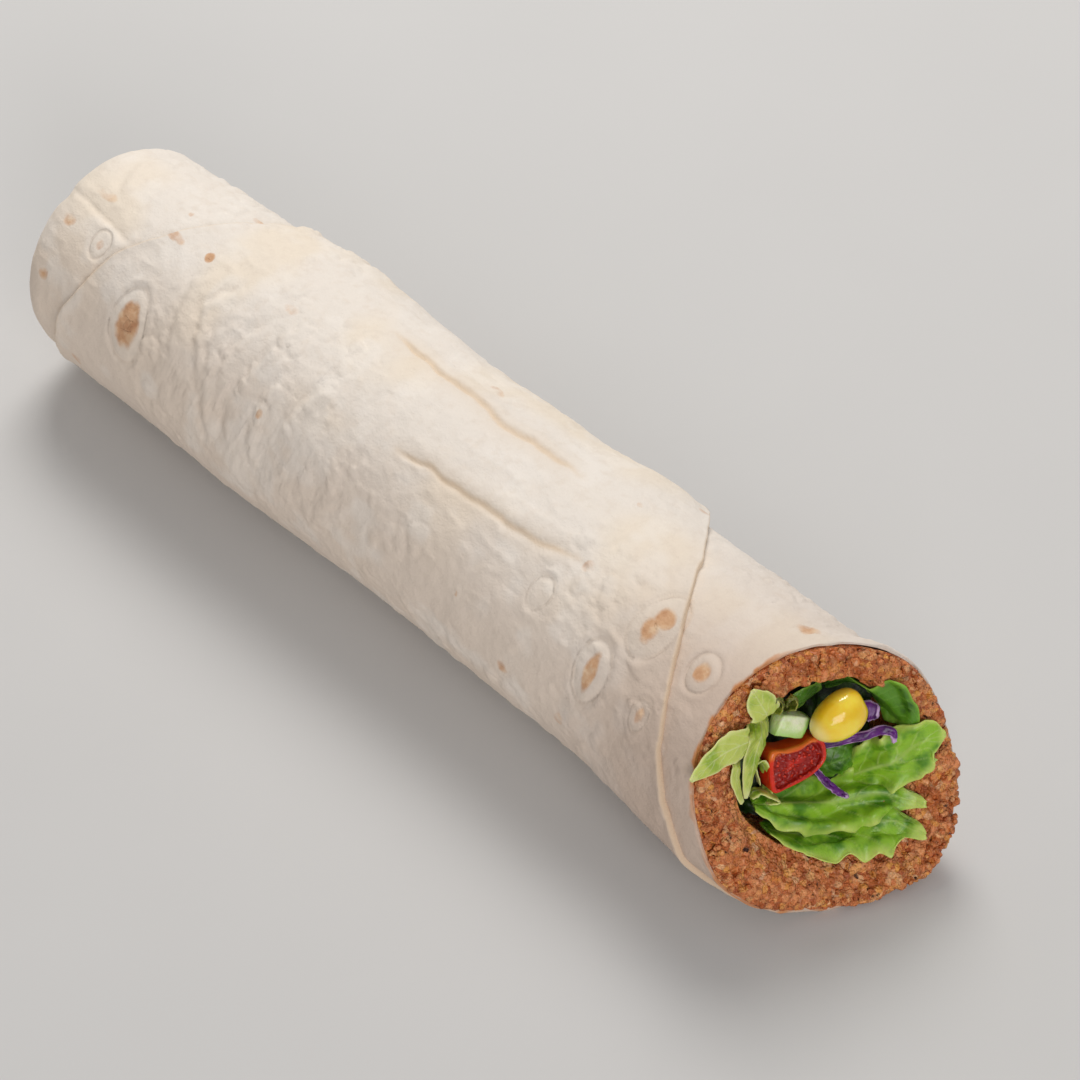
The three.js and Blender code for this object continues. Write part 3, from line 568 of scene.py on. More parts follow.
# ---------------------------------------------------------------- relief of the flatbread
# Toasted spots: x, angle, half lengths along and round, the toasted share of a spot with a raised ring
# or 1 for a bare patch, and how strongly it is toasted.
SPOTS = [
    (-67.8, 151, 4.6, 7.6, 0.62, 1.0), (60.6, 148, 3.6, 6.6, 0.1, 0.3), (60.6, 148, 1.3, 4.4, 1, 0.9),
    (66.9, 115, 4.2, 6.8, 0.1, 0.3), (67.5, 110.5, 2.0, 2.1, 1, 0.9), (66.4, 117.5, 1.9, 2.0, 1, 0.85),
    (66.8, 123, 1.2, 0.9, 1, 0.5), (80.1, 119, 3.3, 4.0, 0.5, 0.8), (74.3, 149, 2.0, 3.2, 0.5, 0.6),
    (26.9, 158, 1.2, 2.2, 0.35, 0.6), (-29.5, 145, 1.8, 2.4, 0.45, 0.7), (-84, 128, 2.4, 3, 0.45, 0.45),
    (-60.9, 102, 1.1, 1.1, 1, 1.0), (41.2, 176, 1.4, 1.7, 1, 0.6), (87.3, 71, 2.6, 1.9, 1, 0.55),
    (-93.7, 158, 1.6, 1.6, 1, 0.5), (-90.5, 106, 3.4, 1.4, 1, 0.45), (-94, 127, 2.0, 1.4, 1, 0.6),
    (-73.2, 88, 1.6, 1.6, 0.5, 0.4), (-69.9, 104, 3.0, 1.1, 1, 0.5), (45.2, 73, 1.8, 1.8, 0.5, 0.4),
    (50.4, 42, 1.6, 1.2, 1, 0.5), (48.5, 112, 1.6, 1.4, 1, 0.45), (43.5, 133, 2.6, 3.2, 0.1, 0.0),
    (-64.4, 64, 1.8, 1.2, 1, 0.45), (4.3, 65, 2.4, 1.2, 1, 0.35), (-38.2, 99, 2.6, 1.6, 1, 0.3),
    (-82.7, 194, 1.6, 2.0, 1, 0.45), (56.2, 181, 1.4, 2, 1, 0.45), (-20, 262, 4, 6, 0.6, 0.9),
    (35, 300, 3.6, 5, 0.6, 0.8), (-55, 330, 3.5, 5, 0.5, 0.7), (70, 350, 3, 4, 0.5, 0.7),
    (-12, 20, 2.6, 3.6, 0.5, 0.6), (-86, 20, 3, 4, 0.5, 0.7), (10, 225, 3, 4.6, 0.55, 0.6),
]
SPOT_RAISE = 0.42
FAR = 4.0                   # farther from a groove than its relief reaches
GROOVED = 5.0               # spots with larger half lengths than this, added up, have a dark groove


def spot_fields(x, angle):
    """Relief, toast, pale ring and distance to the groove of the toasted spots, low domes in a groove."""
    relief, toast, halo = (np.zeros_like(x) for _ in range(3))
    groove = np.full_like(x, FAR)
    arc = np.radians(1) * ROLL_RADIUS
    for k, (at, place, along, round_, share, strength) in enumerate(SPOTS):
        dx, da = x - at, turn(place, angle) * arc
        near = (np.abs(dx) < 3 * along) & (np.abs(da) < 3 * round_)
        dx, da = dx[near], da[near]
        bearing = np.arctan2(da / round_, dx / along)
        wobble = 1 + 0.05 * np.sin(2 * bearing + k) + 0.03 * np.sin(3 * bearing + 2 * k)
        r = np.hypot(dx / along, da / round_) / wobble
        size = 0.0 if share == 1 else min(1.0, (along + round_) / 9)
        fine = 0.3 / min(along, round_) + 0.03
        raised = 0.55 * (1 - smooth(0.5, 1.0, r)) - 0.3 * (1 - smooth(0.75 * share, 1.05 * share, r))
        ring = 0.4 * hill(r, 1.03 + 2 * fine, 1.3 * fine) - 0.75 * hill(r, 1.03, fine)
        relief[near] += SPOT_RAISE * size * (raised + ring)
        toast[near] = np.maximum(toast[near], strength * (1 - smooth(0.45 * share, 1.5 * share, r)))
        halo[near] = np.maximum(halo[near], size * hill(r, 0.8, 0.22))
        if along + round_ > GROOVED and share < 1:
            beyond = (r - 1.03) * min(along, round_)
            groove[near] = np.where(np.abs(beyond) < np.abs(groove[near]), beyond, groove[near])
    return relief, toast, halo, groove


def on_sheet(x, angle):
    """Coordinates on the unrolled bread, in millimetres."""
    return points_of(x, np.radians(angle) * ROLL_RADIUS, 0.0)


def folded(x, angle):
    """How deep the folds round the roll are, from 0 to 1."""
    along = smooth(-66, -50, x - 0.16 * (angle - 140)) * (1 - smooth(-30, 16, x))
    return lerp(0.16, 1, along * band(84, 124, 150, 215, angle))


def long_fold(x, angle, line):
    """A soft valley that runs round the roll, with the bread raised on its right."""
    off = x - line_values(line, angle) + 0.6 * noise(on_sheet(x, angle), 4.0, 161)
    first, last = line[0][0], line[-1][0]
    along = band(first - 4, first + 12, last - 12, last + 4, angle)
    return along * (0.42 * hill(off, 2.0, 1.4) - 0.42 * hill(off, 0, 1.1))


def wrinkles(x, angle):
    """Fine folds that run round the roll, deepest on the left of the shown side."""
    p = on_sheet(x, angle)
    bend = 0.0045 * (p[..., 1] - 46) ** 2 + 2.2 * noise(p, np.array([26.0, 18, 9]), 2)
    p[..., 0] += 0.16 * p[..., 1] + bend
    ridged = 1 - 2.4 * np.abs(noise(p, np.array([6.4, 34, 9]), 3))
    fine = 1 - 2.4 * np.abs(noise(p, np.array([2.4, 11, 9]), 5))
    wide = noise(p, np.array([10, 40, 9]), 9)
    patches = smooth(-0.5, 0.5, noise(p, np.array([14, 14, 9]), 12))
    small = folded(x, angle) * (0.5 * ridged + 0.16 * fine * patches + 0.3 * wide)
    return small + sum(long_fold(x, angle, line) for line in FOLDS)


def bubbles(x, angle):
    """Small flat bubbles of several sizes, crowded in patches, on a crumpled surface."""
    p = on_sheet(x, angle)
    crowd = smooth(-0.35, 0.4, noise(p, np.array([26, 22, 9]), 31))
    total = 0.16 * rough_noise(p, 7.0, 3, 41) + 0.25 * noise(p, np.array([24, 18, 9]), 51)
    for size, height, seed in ((5.5, 0.4, 21), (3.2, 0.32, 23), (1.9, 0.2, 27)):
        warped = p + 0.25 * size * noise(p, size * 0.8, seed + 1)[..., None]
        distance, number = grains(warped, np.array([size, size * 1.35, 9.0]), seed)
        bubble = dome(distance, 0.2 + 0.28 * number) - 0.4 * hill(distance, 0.24 + 0.28 * number, 0.05)
        total = total + height * smooth(0.4, 0.75, number) * crowd * bubble
    crinkle = 1 - 2.2 * np.abs(noise(p + 0.8 * noise(p, 3.0, 62)[..., None], 3.1, 61))
    calm = lerp(1, 0.6, band(140, 178, 260, 300, angle))
    return calm * (total + 0.12 * crinkle) + tucked_folds(x, angle)


def tucked_folds(x, angle):
    """Folds of the bread beside the tucked end: one along the roll and one that winds round it."""
    along = hill(angle, 119 + 0.3 * (x + 90), 2.6) - hill(angle, 115.5 + 0.3 * (x + 90), 1.3)
    along = along * band(-104, -98, -82, -76, x)
    winding = x + 89 + 2.4 * np.sin(np.radians(angle - 55) * 4.5)
    round_ = hill(winding, 0, 1.5) - 0.7 * hill(winding, -2.2, 1.1)
    return 0.3 * along + 0.45 * round_ * band(40, 62, 92, 108, angle)


def joined_round(field, x, angle):
    """A field made on the unrolled bread, blended over the line where its two ends meet."""
    values = field(x, angle)
    late = angle > 320
    if late.any():
        again = field(x[late], angle[late] - 360)
        values[late] = lerp(values[late], again, smooth(320, 360, angle[late]))
    return values


def uneven_surface(x, angle):
    """Relief that all of the bread has."""
    return wrinkles(x, angle) + bubbles(x, angle)


def warm_patches(x, angle):
    return smooth(-0.25, 0.75, rough_noise(on_sheet(x, angle), 18.0, 2, 101))


def light_patches(x, angle):
    return smooth(-0.1, 0.8, rough_noise(on_sheet(x, angle), 6.5, 3, 111))


def bread_fields(x, angle):
    """Relief of the bread, and the fields of its toasted spots."""
    relief, toast, halo, groove = spot_fields(x, angle)
    relief = relief + joined_round(uneven_surface, x, angle)
    on_table = smooth(16, 40, np.abs(turn(270, angle)))
    shades = {"toast": toast, "halo": halo, "groove": groove}
    return relief * lerp(0.25, 1, on_table), shades


def stain_and_shade_field(x, angle):
    """Where the bread has a yellow tinge along the creases and the edges of the outer turn, and painted
    shade down the valleys of the creases.
    """
    total = 0
    for line, start, end, _, _ in CREASES:
        off, strength = crease_place(x, angle, line, start, end)
        # A wide yellow tinge round each crease, and a narrow line down its valley that is painted shade.
        total = total + strength * (0.3 * hill(off, 1, 7) + 0.9 * hill(off, 0.4, 1.3))
    return np.clip(total, 0, 1)


def bread_colors(x, angle, rim_distance):
    """Fields that the bread's material reads, besides toast and halo."""
    p = on_sheet(x, angle)
    collar = smooth(44, 86, x)
    ragged = rim_distance + 0.5 * noise(p, 2.4, 121) + 0.2 * noise(p, 0.9, 123)
    left, below = band(80, 105, 150, 190, angle), band(180, 200, 262, 280, angle)
    oil = 0.9 * left * (1 - smooth(0.0, 0.55, ragged)) + 0.8 * below * (1 - smooth(0, 0.5, ragged))
    return {
        "stain_and_shade": np.clip(stain_and_shade_field(x, angle), 0, 1),
        "folds": folded(x, angle),
        # painted shade on the side of the roll away from the key light, rising from 100 degrees and gone by
        # 345
        "shade": band(100, 165, 300, 345, angle),
        "damp": collar * lerp(0.35, 1, band(75, 125, 290, 350, angle)),
        "warm": joined_round(warm_patches, x, angle),
        "light": joined_round(light_patches, x, angle),
        "oil": np.clip(oil, 0, 1),
    }


def inner_turns():
    """The turns under the outermost one: tucked end, outside, rim at the cut, and inside."""
    sides = 300
    angle = np.arange(sides) * 360 / sides
    a = np.radians(angle)
    rim = rim_x(ROLL_RADIUS + 1, angle)
    start = TUCKED_END + END_ROUNDING
    rows, fields = [], []

    def add(x, radius, clear, relief_share=1.0):
        x = x + np.zeros(sides)
        relief, shades = bread_fields(x, angle)
        rows.append(roll_points(x, angle, radius + relief_share * relief, clear))
        fields.append({**shades, **bread_colors(x, angle, rim - x)})

    edge_radius = inner_turn_radius(start, angle)

    def gather(share):
        """Folds that run in to the middle of the tucked end and fade towards its round edge."""
        swirl = a + 0.5 * share
        p = points_of(6 * np.cos(swirl), 6 * np.sin(swirl), 2.5 * share)
        folds = 0.8 * (1 - 2.2 * np.abs(noise(p, 3.4, 141))) + 0.5 * rough_noise(p, 1.7, 2, 143)
        return folds * np.sqrt(share) * (1 - 0.7 * share)

    for share in np.concatenate([[0.03, 0.07], np.linspace(0.12, 0.97, 26)]):
        depth = 2.4 * (1 - smooth(0.0, 0.9, share)) - gather(share)
        fold = share * end_fold(TUCKED_END, angle)
        add(TUCKED_END + np.maximum(depth, 0) + fold, share * (edge_radius - END_ROUNDING), 0.3, 0.0)
    for turn_over in np.linspace(0, pi / 2, 18):
        x = TUCKED_END + END_ROUNDING * (1 - np.cos(turn_over))
        fold = np.cos(turn_over) * end_fold(TUCKED_END, angle)
        ripple = np.maximum(-gather(1.0), 0) * np.cos(turn_over) ** 2
        shrink = END_ROUNDING * (1 - np.sin(turn_over))
        add(x + fold + ripple, edge_radius - shrink, 0.3, np.sin(turn_over) ** 2)
    for x in np.concatenate([np.arange(start, -58, 0.6)[1:], np.arange(-56, 46, 4.0)]):
        add(x, inner_turn_radius(x, angle), 0.3)
    for share in np.linspace(0, 1, 125):
        x = lerp(47, rim - 0.15, share)
        add(x, inner_turn_radius(x, angle), 0.3, 1 - 0.6 * smooth(0.97, 1, share))
    outside = inner_turn_radius(rim, angle)
    for depth, back in ((0.1, 0.0), (0.3, -0.2), (0.42, 0.3), (0.5, -0.05), (0.7, 0.0), (RIM_WALL, 0.5)):
        shift = back + 0.3 * noise(points_of(a * 24, depth * 9, 0.0), 2.5, 7)
        add(rim - shift, outside - depth, 0.3 + depth, 0.0)
    for share in (0.99, 0.95, 0.8, 0.4, 0.0):
        x = lerp(start, rim, share)
        add(x, inner_turn_radius(x, angle) - lerp(WALL, RIM_WALL, smooth(0.9, 0.99, share)), WALL, 0.0)
    end, notch = TUCKED_END + WALL, end_fold(TUCKED_END, angle)
    rounding = END_ROUNDING - WALL
    for turn_over in (1.0, 0.5, 0.0):
        x = end + rounding * (1 - np.cos(turn_over)) + np.cos(turn_over) * notch
        add(x, edge_radius - WALL - rounding * (1 - np.sin(turn_over)), WALL, 0.0)
    for radius in (11, 5, 1):
        depth = line_values([(1, 3.2), (5, 2), (11, 0.6)], radius)
        add(end + depth + radius / 11 * notch, radius + np.zeros(sides), WALL, 0.0)
    attributes = {key: np.array([row[key] for row in fields]) for key in fields[0]}
    return ring_mesh("flatbread_inner_turns", np.array(rows), fields=attributes)


def outer_turn():
    """The outermost turn: a tongue of bread whose edges show on the top and on both sides."""
    angles = np.concatenate([
        np.linspace(0, 3, 6)[:-1], np.linspace(3, 260, 300), np.linspace(262, TONGUE_FADE, 24),
    ])
    at_edge = np.array([0, 0.06, 0.16, 0.3, 0.5, 0.85, 1.3])      # distances in from an edge
    along_edge = points_of(angles * 0.43, 0.0, 0.0)
    left = line_values(TONGUE_LEFT, angles) + 0.7 * rough_noise(along_edge, 9, 3, 61)
    right = line_values(TONGUE_RIGHT, angles) + 0.7 * rough_noise(along_edge + 50, 9, 3, 62)
    rim = rim_x(ROLL_RADIUS + 2, angles)
    right = np.minimum(right, rim - 0.1)
    columns = [left + e for e in at_edge]
    columns += [lerp(left + 1.8, right - 1.8, s) for s in np.linspace(0, 1, 258)]
    columns += [right - e for e in at_edge[::-1]]
    x = np.stack(columns, -1)
    angle = angles[:, None] + np.zeros_like(x)
    from_edge = np.minimum(np.minimum(x - left[:, None], right[:, None] - x), angle * 0.42)
    lip = dome(1 - np.clip(from_edge / 0.5, 0, 1), 1)
    relief, shades = bread_fields(x, angle)
    shown = 1 - smooth(200, 260, angle)
    uneven = 0.6 + 0.8 * rough_noise(on_sheet(0 * x, angle), 12.0, 2, 64)
    curl = 0.22 * hill(from_edge, 0.5, 1.4) * shown * uneven
    below = inner_turn_radius(x, angle) - 0.15
    above = outer_turn_radius(x, angle) + relief + curl
    buried = 2.5 * smooth(TONGUE_FADE - 3, TONGUE_FADE, angles)[:, None]
    outside = roll_points(x, angle, lerp(below, above, lip) - buried, 0.0)
    fields = {**shades, **bread_colors(x, angle, rim[:, None] - x)}
    fields["halo"] = np.maximum(fields["halo"], 0.5 * hill(from_edge, 0.3, 0.5) * shown)
    fields["stain_and_shade"] = np.maximum(fields["stain_and_shade"], hill(from_edge, 0.15, 0.4) * shown)
    back_x = np.stack([lerp(right - 0.4, left + 0.4, s) for s in np.linspace(0, 1, 12)], -1)
    back_angle = angles[:, None] + np.zeros_like(back_x)
    inside = 0.7 + 0.6 * smooth(TONGUE_FADE - TONGUE_FADING, TONGUE_FADE, back_angle)
    back_radius = inner_turn_radius(back_x, back_angle) - inside - buried
    underneath = roll_points(back_x, back_angle, back_radius, 0.5)
    loop = np.concatenate([outside, underneath], 1)
    blank = np.zeros(back_x.shape)
    attributes = {key: np.concatenate([values, blank], 1) for key, values in fields.items()}
    return ring_mesh("flatbread_outer_turn", loop, fields=attributes)


def sheet_mesh(name, front, back, fields):
    """A closed sheet between two grids of points that face each other."""
    rows, columns = front.shape[:2]
    count = rows * columns
    points = np.vstack([front.reshape(-1, 3), back.reshape(-1, 3)])
    i, j = np.meshgrid(np.arange(rows - 1), np.arange(columns - 1), indexing="ij")
    here, above = i * columns + j, (i + 1) * columns + j
    quad = points_of(here, above, above + 1, here + 1).reshape(-1, 4)
    at = np.arange(count).reshape(rows, columns)
    border = np.concatenate([at[:-1, 0], at[-1, :-1], at[:0:-1, -1], at[0, :0:-1]])
    following = np.roll(border, -1)
    side = points_of(border, border + count, following + count, following)
    faces = np.vstack([quad, quad[:, ::-1] + count, side]).tolist()
    return make_mesh(name, points, faces, {key: np.stack([values] * 2) for key, values in fields.items()})


# ---------------------------------------------------------------- bulgur paste
CROWN = [(0.5, -2), (0.64, -1.2), (0.72, 0.4), (0.8, 1.2), (0.89, 1.3), (0.96, 1), (1, 0.5)]
PASTE_END = TUCKED_END + 4.2
BULGE_ANGLE = 300.0         # where the paste stands out most
BULGE_WIDTH = 42.0
BULGE = 2.0


def crown_height(share, angle):
    """How far the paste stands out of the cut, at a share of its outer radius."""
    height = line_values(CROWN, share)
    bulge = 1 + BULGE * hill(turn(BULGE_ANGLE, angle), 0, BULGE_WIDTH)
    return np.where(height > 0, height * bulge, height)


def paste_edge(angle):
    """Radius of the paste at the cut, where it reaches a little into the bread."""
    x = rim_x(ROLL_RADIUS + 2, angle)
    return inner_turn_radius(x - 0.5, angle) - RIM_WALL + 0.25


def cavity_outline(a, clear=0.0):
    """Outline of the hollow about its own middle."""
    uneven = 0.6 * np.sin(3 * a + 1) + 0.4 * np.sin(5 * a + 2.2) + 0.3 * np.sin(8 * a)
    uneven = uneven - clear
    return (CAVITY_HALF_WIDTH + uneven) * np.cos(a), (CAVITY_HALF_HEIGHT + uneven) * np.sin(a)


def cavity_edge(angle):
    """Radius of the hollow about the roll's axis."""
    y, z = cavity_outline(np.radians(angle))
    z = CAVITY_RAISED + z
    seen = np.mod(np.degrees(np.arctan2(z, y)), 360)
    order = np.argsort(seen)
    return np.interp(np.mod(angle, 360), seen[order], np.hypot(y, z)[order], period=360)


def grain_relief(points):
    """Coarse grains, lumps of a few millimetres and small pits."""
    distance, number = grains(points, 1.7, 71)
    coarse = dome(distance, 0.78) * (0.35 + 0.65 * number)
    distance, number = grains(points, 1.0, 81)
    fine = dome(distance, 0.75) * (0.4 + 0.6 * number)
    pits = smooth(0.42, 0.75, rough_noise(points, 2.6, 2, 91))
    lumps = rough_noise(points, 6.0, 2, 95)
    return 0.75 * coarse + 0.32 * fine + 0.75 * lumps - 1.1 * pits - 0.25


def bulgur_paste():
    """The paste: outside in the bread, cut face, and the wall of the hollow back to its start."""
    sides = 460
    angle = np.arange(sides) * 360 / sides
    a = np.radians(angle)
    edge, hollow = paste_edge(angle), cavity_edge(angle)
    rows, rough = [], []

    def add(radius, out, share, x=None):
        y, z = radius * np.cos(a), np.maximum(AXIS_HEIGHT + radius * np.sin(a), WALL + GAP)
        rows.append(points_of(cut_x(y, z, out) if x is None else x, y, z))
        rough.append(np.full(sides, share))

    edge_x = rim_x(edge, angle, -4.0)
    for x in [PASTE_END, -60, 0, 50] + [lerp(50, edge_x, share) for share in np.linspace(0.1, 1, 10)]:
        add(inner_turn_radius(x, angle) - WALL - GAP, 0, 0.0, x)
    for share in np.linspace(0, 1, 78):
        radius = lerp(edge - 0.1, hollow + 0.2, share)
        fall = smooth(0.8, 1.0, share)
        out = crown_height(radius / edge, angle) * (1 - fall) - PASTE_LIP * fall
        add(radius, out, smooth(0.0, 0.06, share) * lerp(1, 0.35, smooth(0.6, 0.95, share)))
    for depth in np.linspace(0.5, 12, 30):
        add(hollow + 0.9, -PASTE_LIP - depth, 0.2)
    for x in (60, 0, -60, PASTE_END):
        add(hollow, 0, 0.0, x)
    grid = np.array(rows)
    relief = grain_relief(grid) * np.array(rough)
    grid = grid + outward(grid) * relief[..., None]
    return ring_mesh("bulgur_paste_grains", np.vstack([grid, grid[:1]]), caps=False)


def crumbs():
    """Loose grains that stand out of the cut paste, most of them at its outer edge."""
    rng = np.random.default_rng(5)
    count = 420
    angle = rng.uniform(0, 360, count)
    edge, hollow = paste_edge(angle), cavity_edge(angle)
    share = rng.uniform(0, 1, count) ** 1.6
    radius = lerp(edge - 0.7, 0.6 * edge + 0.4 * hollow, share)
    out = crown_height(radius / edge, angle) + rng.uniform(-0.25, 0.35, count)
    y, z = radius * np.cos(np.radians(angle)), AXIS_HEIGHT + radius * np.sin(np.radians(angle))
    centres = points_of(cut_x(y, z, out), y, np.maximum(z, 2.6))
    ball = ball_points(10, 7)
    rows = []
    for centre in centres:
        size = rng.uniform(0.45, 1.0) * np.array([1, rng.uniform(0.6, 1), rng.uniform(0.6, 1)])
        spin = np.linalg.qr(rng.normal(size=(3, 3)))[0]
        uneven = 1 + 0.18 * noise(ball * 2 + centre, 1.1, 4)
        rows.append(ball * size @ spin * uneven[..., None] + centre)
    return joined_balls("bulgur_paste_crumbs", rows)


def ball_points(sides, rings):
    """Points of a unit ball as rows of rings, without its poles."""
    polar = np.linspace(0, pi, rings + 2)[1:-1, None]
    around = np.linspace(0, 2 * pi, sides, endpoint=False)[None]
    return points_of(np.sin(polar) * np.cos(around), np.sin(polar) * np.sin(around), np.cos(polar))


def joined_balls(name, balls):
    points, faces = [], []
    for ball in balls:
        first = len(points)
        rings, sides = ball.shape[:2]
        points.extend(ball.reshape(-1, 3).tolist())
        poles = [2 * ball[0].mean(0) - ball[1].mean(0) * 0.5 - ball[0].mean(0) * 0.5,
                 2 * ball[-1].mean(0) - ball[-2].mean(0) * 0.5 - ball[-1].mean(0) * 0.5]
        points.extend([p.tolist() for p in poles])
        top, bottom = first + rings * sides, first + rings * sides + 1
        for j in range(sides):
            k = (j + 1) % sides
            for i in range(rings - 1):
                faces.append([first + i * sides + j, first + (i + 1) * sides + j,
                              first + (i + 1) * sides + k, first + i * sides + k])
            faces.append([top, first + j, first + k])
            faces.append([bottom, first + (rings - 1) * sides + k, first + (rings - 1) * sides + j])
    return make_mesh(name, points, faces)


# ---------------------------------------------------------------- salad
LEAF_THICKNESS = 0.45


def spline(points, t):
    """Smooth curve through points at places t from 0 to 1."""
    points = np.asarray(points, float)
    if points.ndim == 1:
        points = points[:, None]
    knots = np.linspace(0, 1, len(points))
    slopes = np.gradient(points, knots, axis=0)
    i = np.clip(np.searchsorted(knots, t, side="right") - 1, 0, len(points) - 2)
    h = knots[1] - knots[0]
    f = ((t - knots[i]) / h)[..., None]
    f2, f3 = f * f, f * f * f
    return ((2 * f3 - 3 * f2 + 1) * points[i] + (f3 - 2 * f2 + f) * h * slopes[i]
            + (3 * f2 - 2 * f3) * points[i + 1] + (f3 - f2) * h * slopes[i + 1])


def leaf(name, path, widths, tilts, cup, frill, waves, pleats=0.0, seed=0, rows=90, columns=44,
         thickness=LEAF_THICKNESS, veins=7):
    """A leaf along a path of (u, w, d) on the cut, from its root to its tip.

    widths and tilts are given at even steps along it. With a tilt of 0 the blade faces out of the cut
    and with 90 it stands on its left edge. cup bends the blade, frill ripples its edges and pleats run
    along it."""
    t = np.linspace(0, 1, rows)
    s = np.linspace(-1, 1, columns)
    middle = spline(path, t)
    width = np.maximum(spline(widths, t)[:, 0], 0.2)
    tilt = np.radians(spline(tilts, t)[:, 0])
    along = np.gradient(middle, axis=0)
    along /= np.linalg.norm(along, axis=1, keepdims=True)
    side = np.cross(along, [0.0, 0.0, 1.0])
    side /= np.maximum(np.linalg.norm(side, axis=1, keepdims=True), 1e-6)
    face = np.cross(side, along)
    blade = side * np.cos(tilt)[:, None] + face * np.sin(tilt)[:, None]
    normal = face * np.cos(tilt)[:, None] - side * np.sin(tilt)[:, None]
    T, S = np.meshgrid(t, s, indexing="ij")
    where = points_of(T * 7 + seed * 3.1, S * 1.3, 0.0)
    ragged = noise(points_of(T * 9 + seed, np.sign(S) * 4, 0.0), 0.6, seed)
    across = S * width[:, None] / 2 * (1 + 0.12 * ragged * np.abs(S) ** 3)
    swing = np.sin(2 * pi * waves * T + 2.2 * S + 0.9 * noise(where, 0.8, seed) + seed)
    ripple = frill * np.abs(S) ** 2.5 * smooth(0.1, 0.45, T) * (1 - 0.5 * smooth(0.85, 1, T)) * swing
    rib = -0.25 * hill(S, 0, 0.12) * (1 - T)
    quilt = 0.16 * noise(points_of(T * 30, S * 9, seed), 2.2, seed + 7)
    folds = np.sin(2.6 * pi * S + 1.2 * noise(where, 1.5, seed + 2) + seed)
    folds = pleats * folds * band(0.05, 0.3, 0.75, 0.97, T)
    lift = cup * width[:, None] * (1 - S ** 2) + ripple + rib + quilt + folds
    points = middle[:, None] + across[..., None] * blade[:, None] + lift[..., None] * normal[:, None]
    points = from_cut(over_lip(points))
    half = outward(points, False) * (thickness / 2) * (1 - 0.6 * np.abs(S[..., None]) ** 4)
    branch = np.abs(((T * veins - np.abs(S) * 1.7 + 0.15 * noise(where, 0.5, seed + 3)) % 1) - 0.5)
    branch = 0.7 * hill(branch, 0, 0.06) * (1 - np.abs(S)) ** 0.5
    vein = np.maximum(hill(S, 0, 0.055) * (1 - 0.6 * T), branch)
    rim = np.maximum(np.abs(S) ** 3, smooth(0.8, 1, T))
    return sheet_mesh(name, points - half, points + half, {"vein": vein, "rim": rim})


def over_lip(p):
    """Keeps a leaf within the walls of the hollow below its lip, and on top of the paste past it."""
    flat = from_cut(points_of(p[..., 0], p[..., 1], 0.0))
    y, z = flat[..., 1], flat[..., 2] - AXIS_HEIGHT
    angle = np.mod(np.degrees(np.arctan2(z, y)), 360)
    share = np.hypot(y, z) / paste_edge(angle)
    on_paste = crown_height(np.minimum(share, 0.93), angle) + LEAF_CLEARANCE
    start, end = LEAF_LIP
    d = lerp(p[..., 2], np.maximum(p[..., 2], on_paste), smooth(start - 1, start + 0.6, p[..., 2]))
    place = from_cut(points_of(p[..., 0], p[..., 1], d))
    y, z = place[..., 1], place[..., 2] - AXIS_HEIGHT
    reach = np.hypot(y / (CAVITY_HALF_WIDTH - 0.6), (z - CAVITY_RAISED) / (CAVITY_HALF_HEIGHT - 0.6))
    pull = np.where(reach > 1, lerp(1 / np.maximum(reach, 1), 1, smooth(start, end, d)), 1.0)
    height = AXIS_HEIGHT + CAVITY_RAISED + (z - CAVITY_RAISED) * pull
    moved = points_of(place[..., 0], y * pull, height) - CUT_ORIGIN
    return points_of(moved @ CUT_RIGHT, moved @ CUT_UP, moved @ CUT_NORMAL)


def shred(name, path, width, thickness, tilts, seed=0):
    """A narrow strip along a path on the cut."""
    widths = [width * 0.8, width, width, width * 0.6]
    return leaf(name, path, widths, tilts, cup=0.05, frill=0.05, waves=2, seed=seed, rows=60, columns=7,
                thickness=thickness, veins=3)


def salad_core():
    """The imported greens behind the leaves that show."""
    sides = 160
    y, z = cavity_outline(np.arange(sides) * 2 * pi / sides, GAP)
    middle = AXIS_HEIGHT + CAVITY_RAISED
    rows = [points_of(x, y, middle + z) for x in (TUCKED_END + 6, -30, 40)]
    for share in np.concatenate([[1.0], np.linspace(0.99, 0.02, 50)]):
        py, pz = y * share, middle + z * share
        flat = points_of(py, pz, 0.0)
        ridges = 1 - 2 * np.abs(noise(flat, np.array([3, 9, 9]), 6))
        rise = 1.6 * rough_noise(flat, 5, 3, 3) + 1.1 * ridges - (2.5 if share == 1.0 else 0)
        rows.append(points_of(cut_x(py, pz, rise - CORE_RECESS), py, pz))
    return ring_mesh("salad_core", np.array(rows))


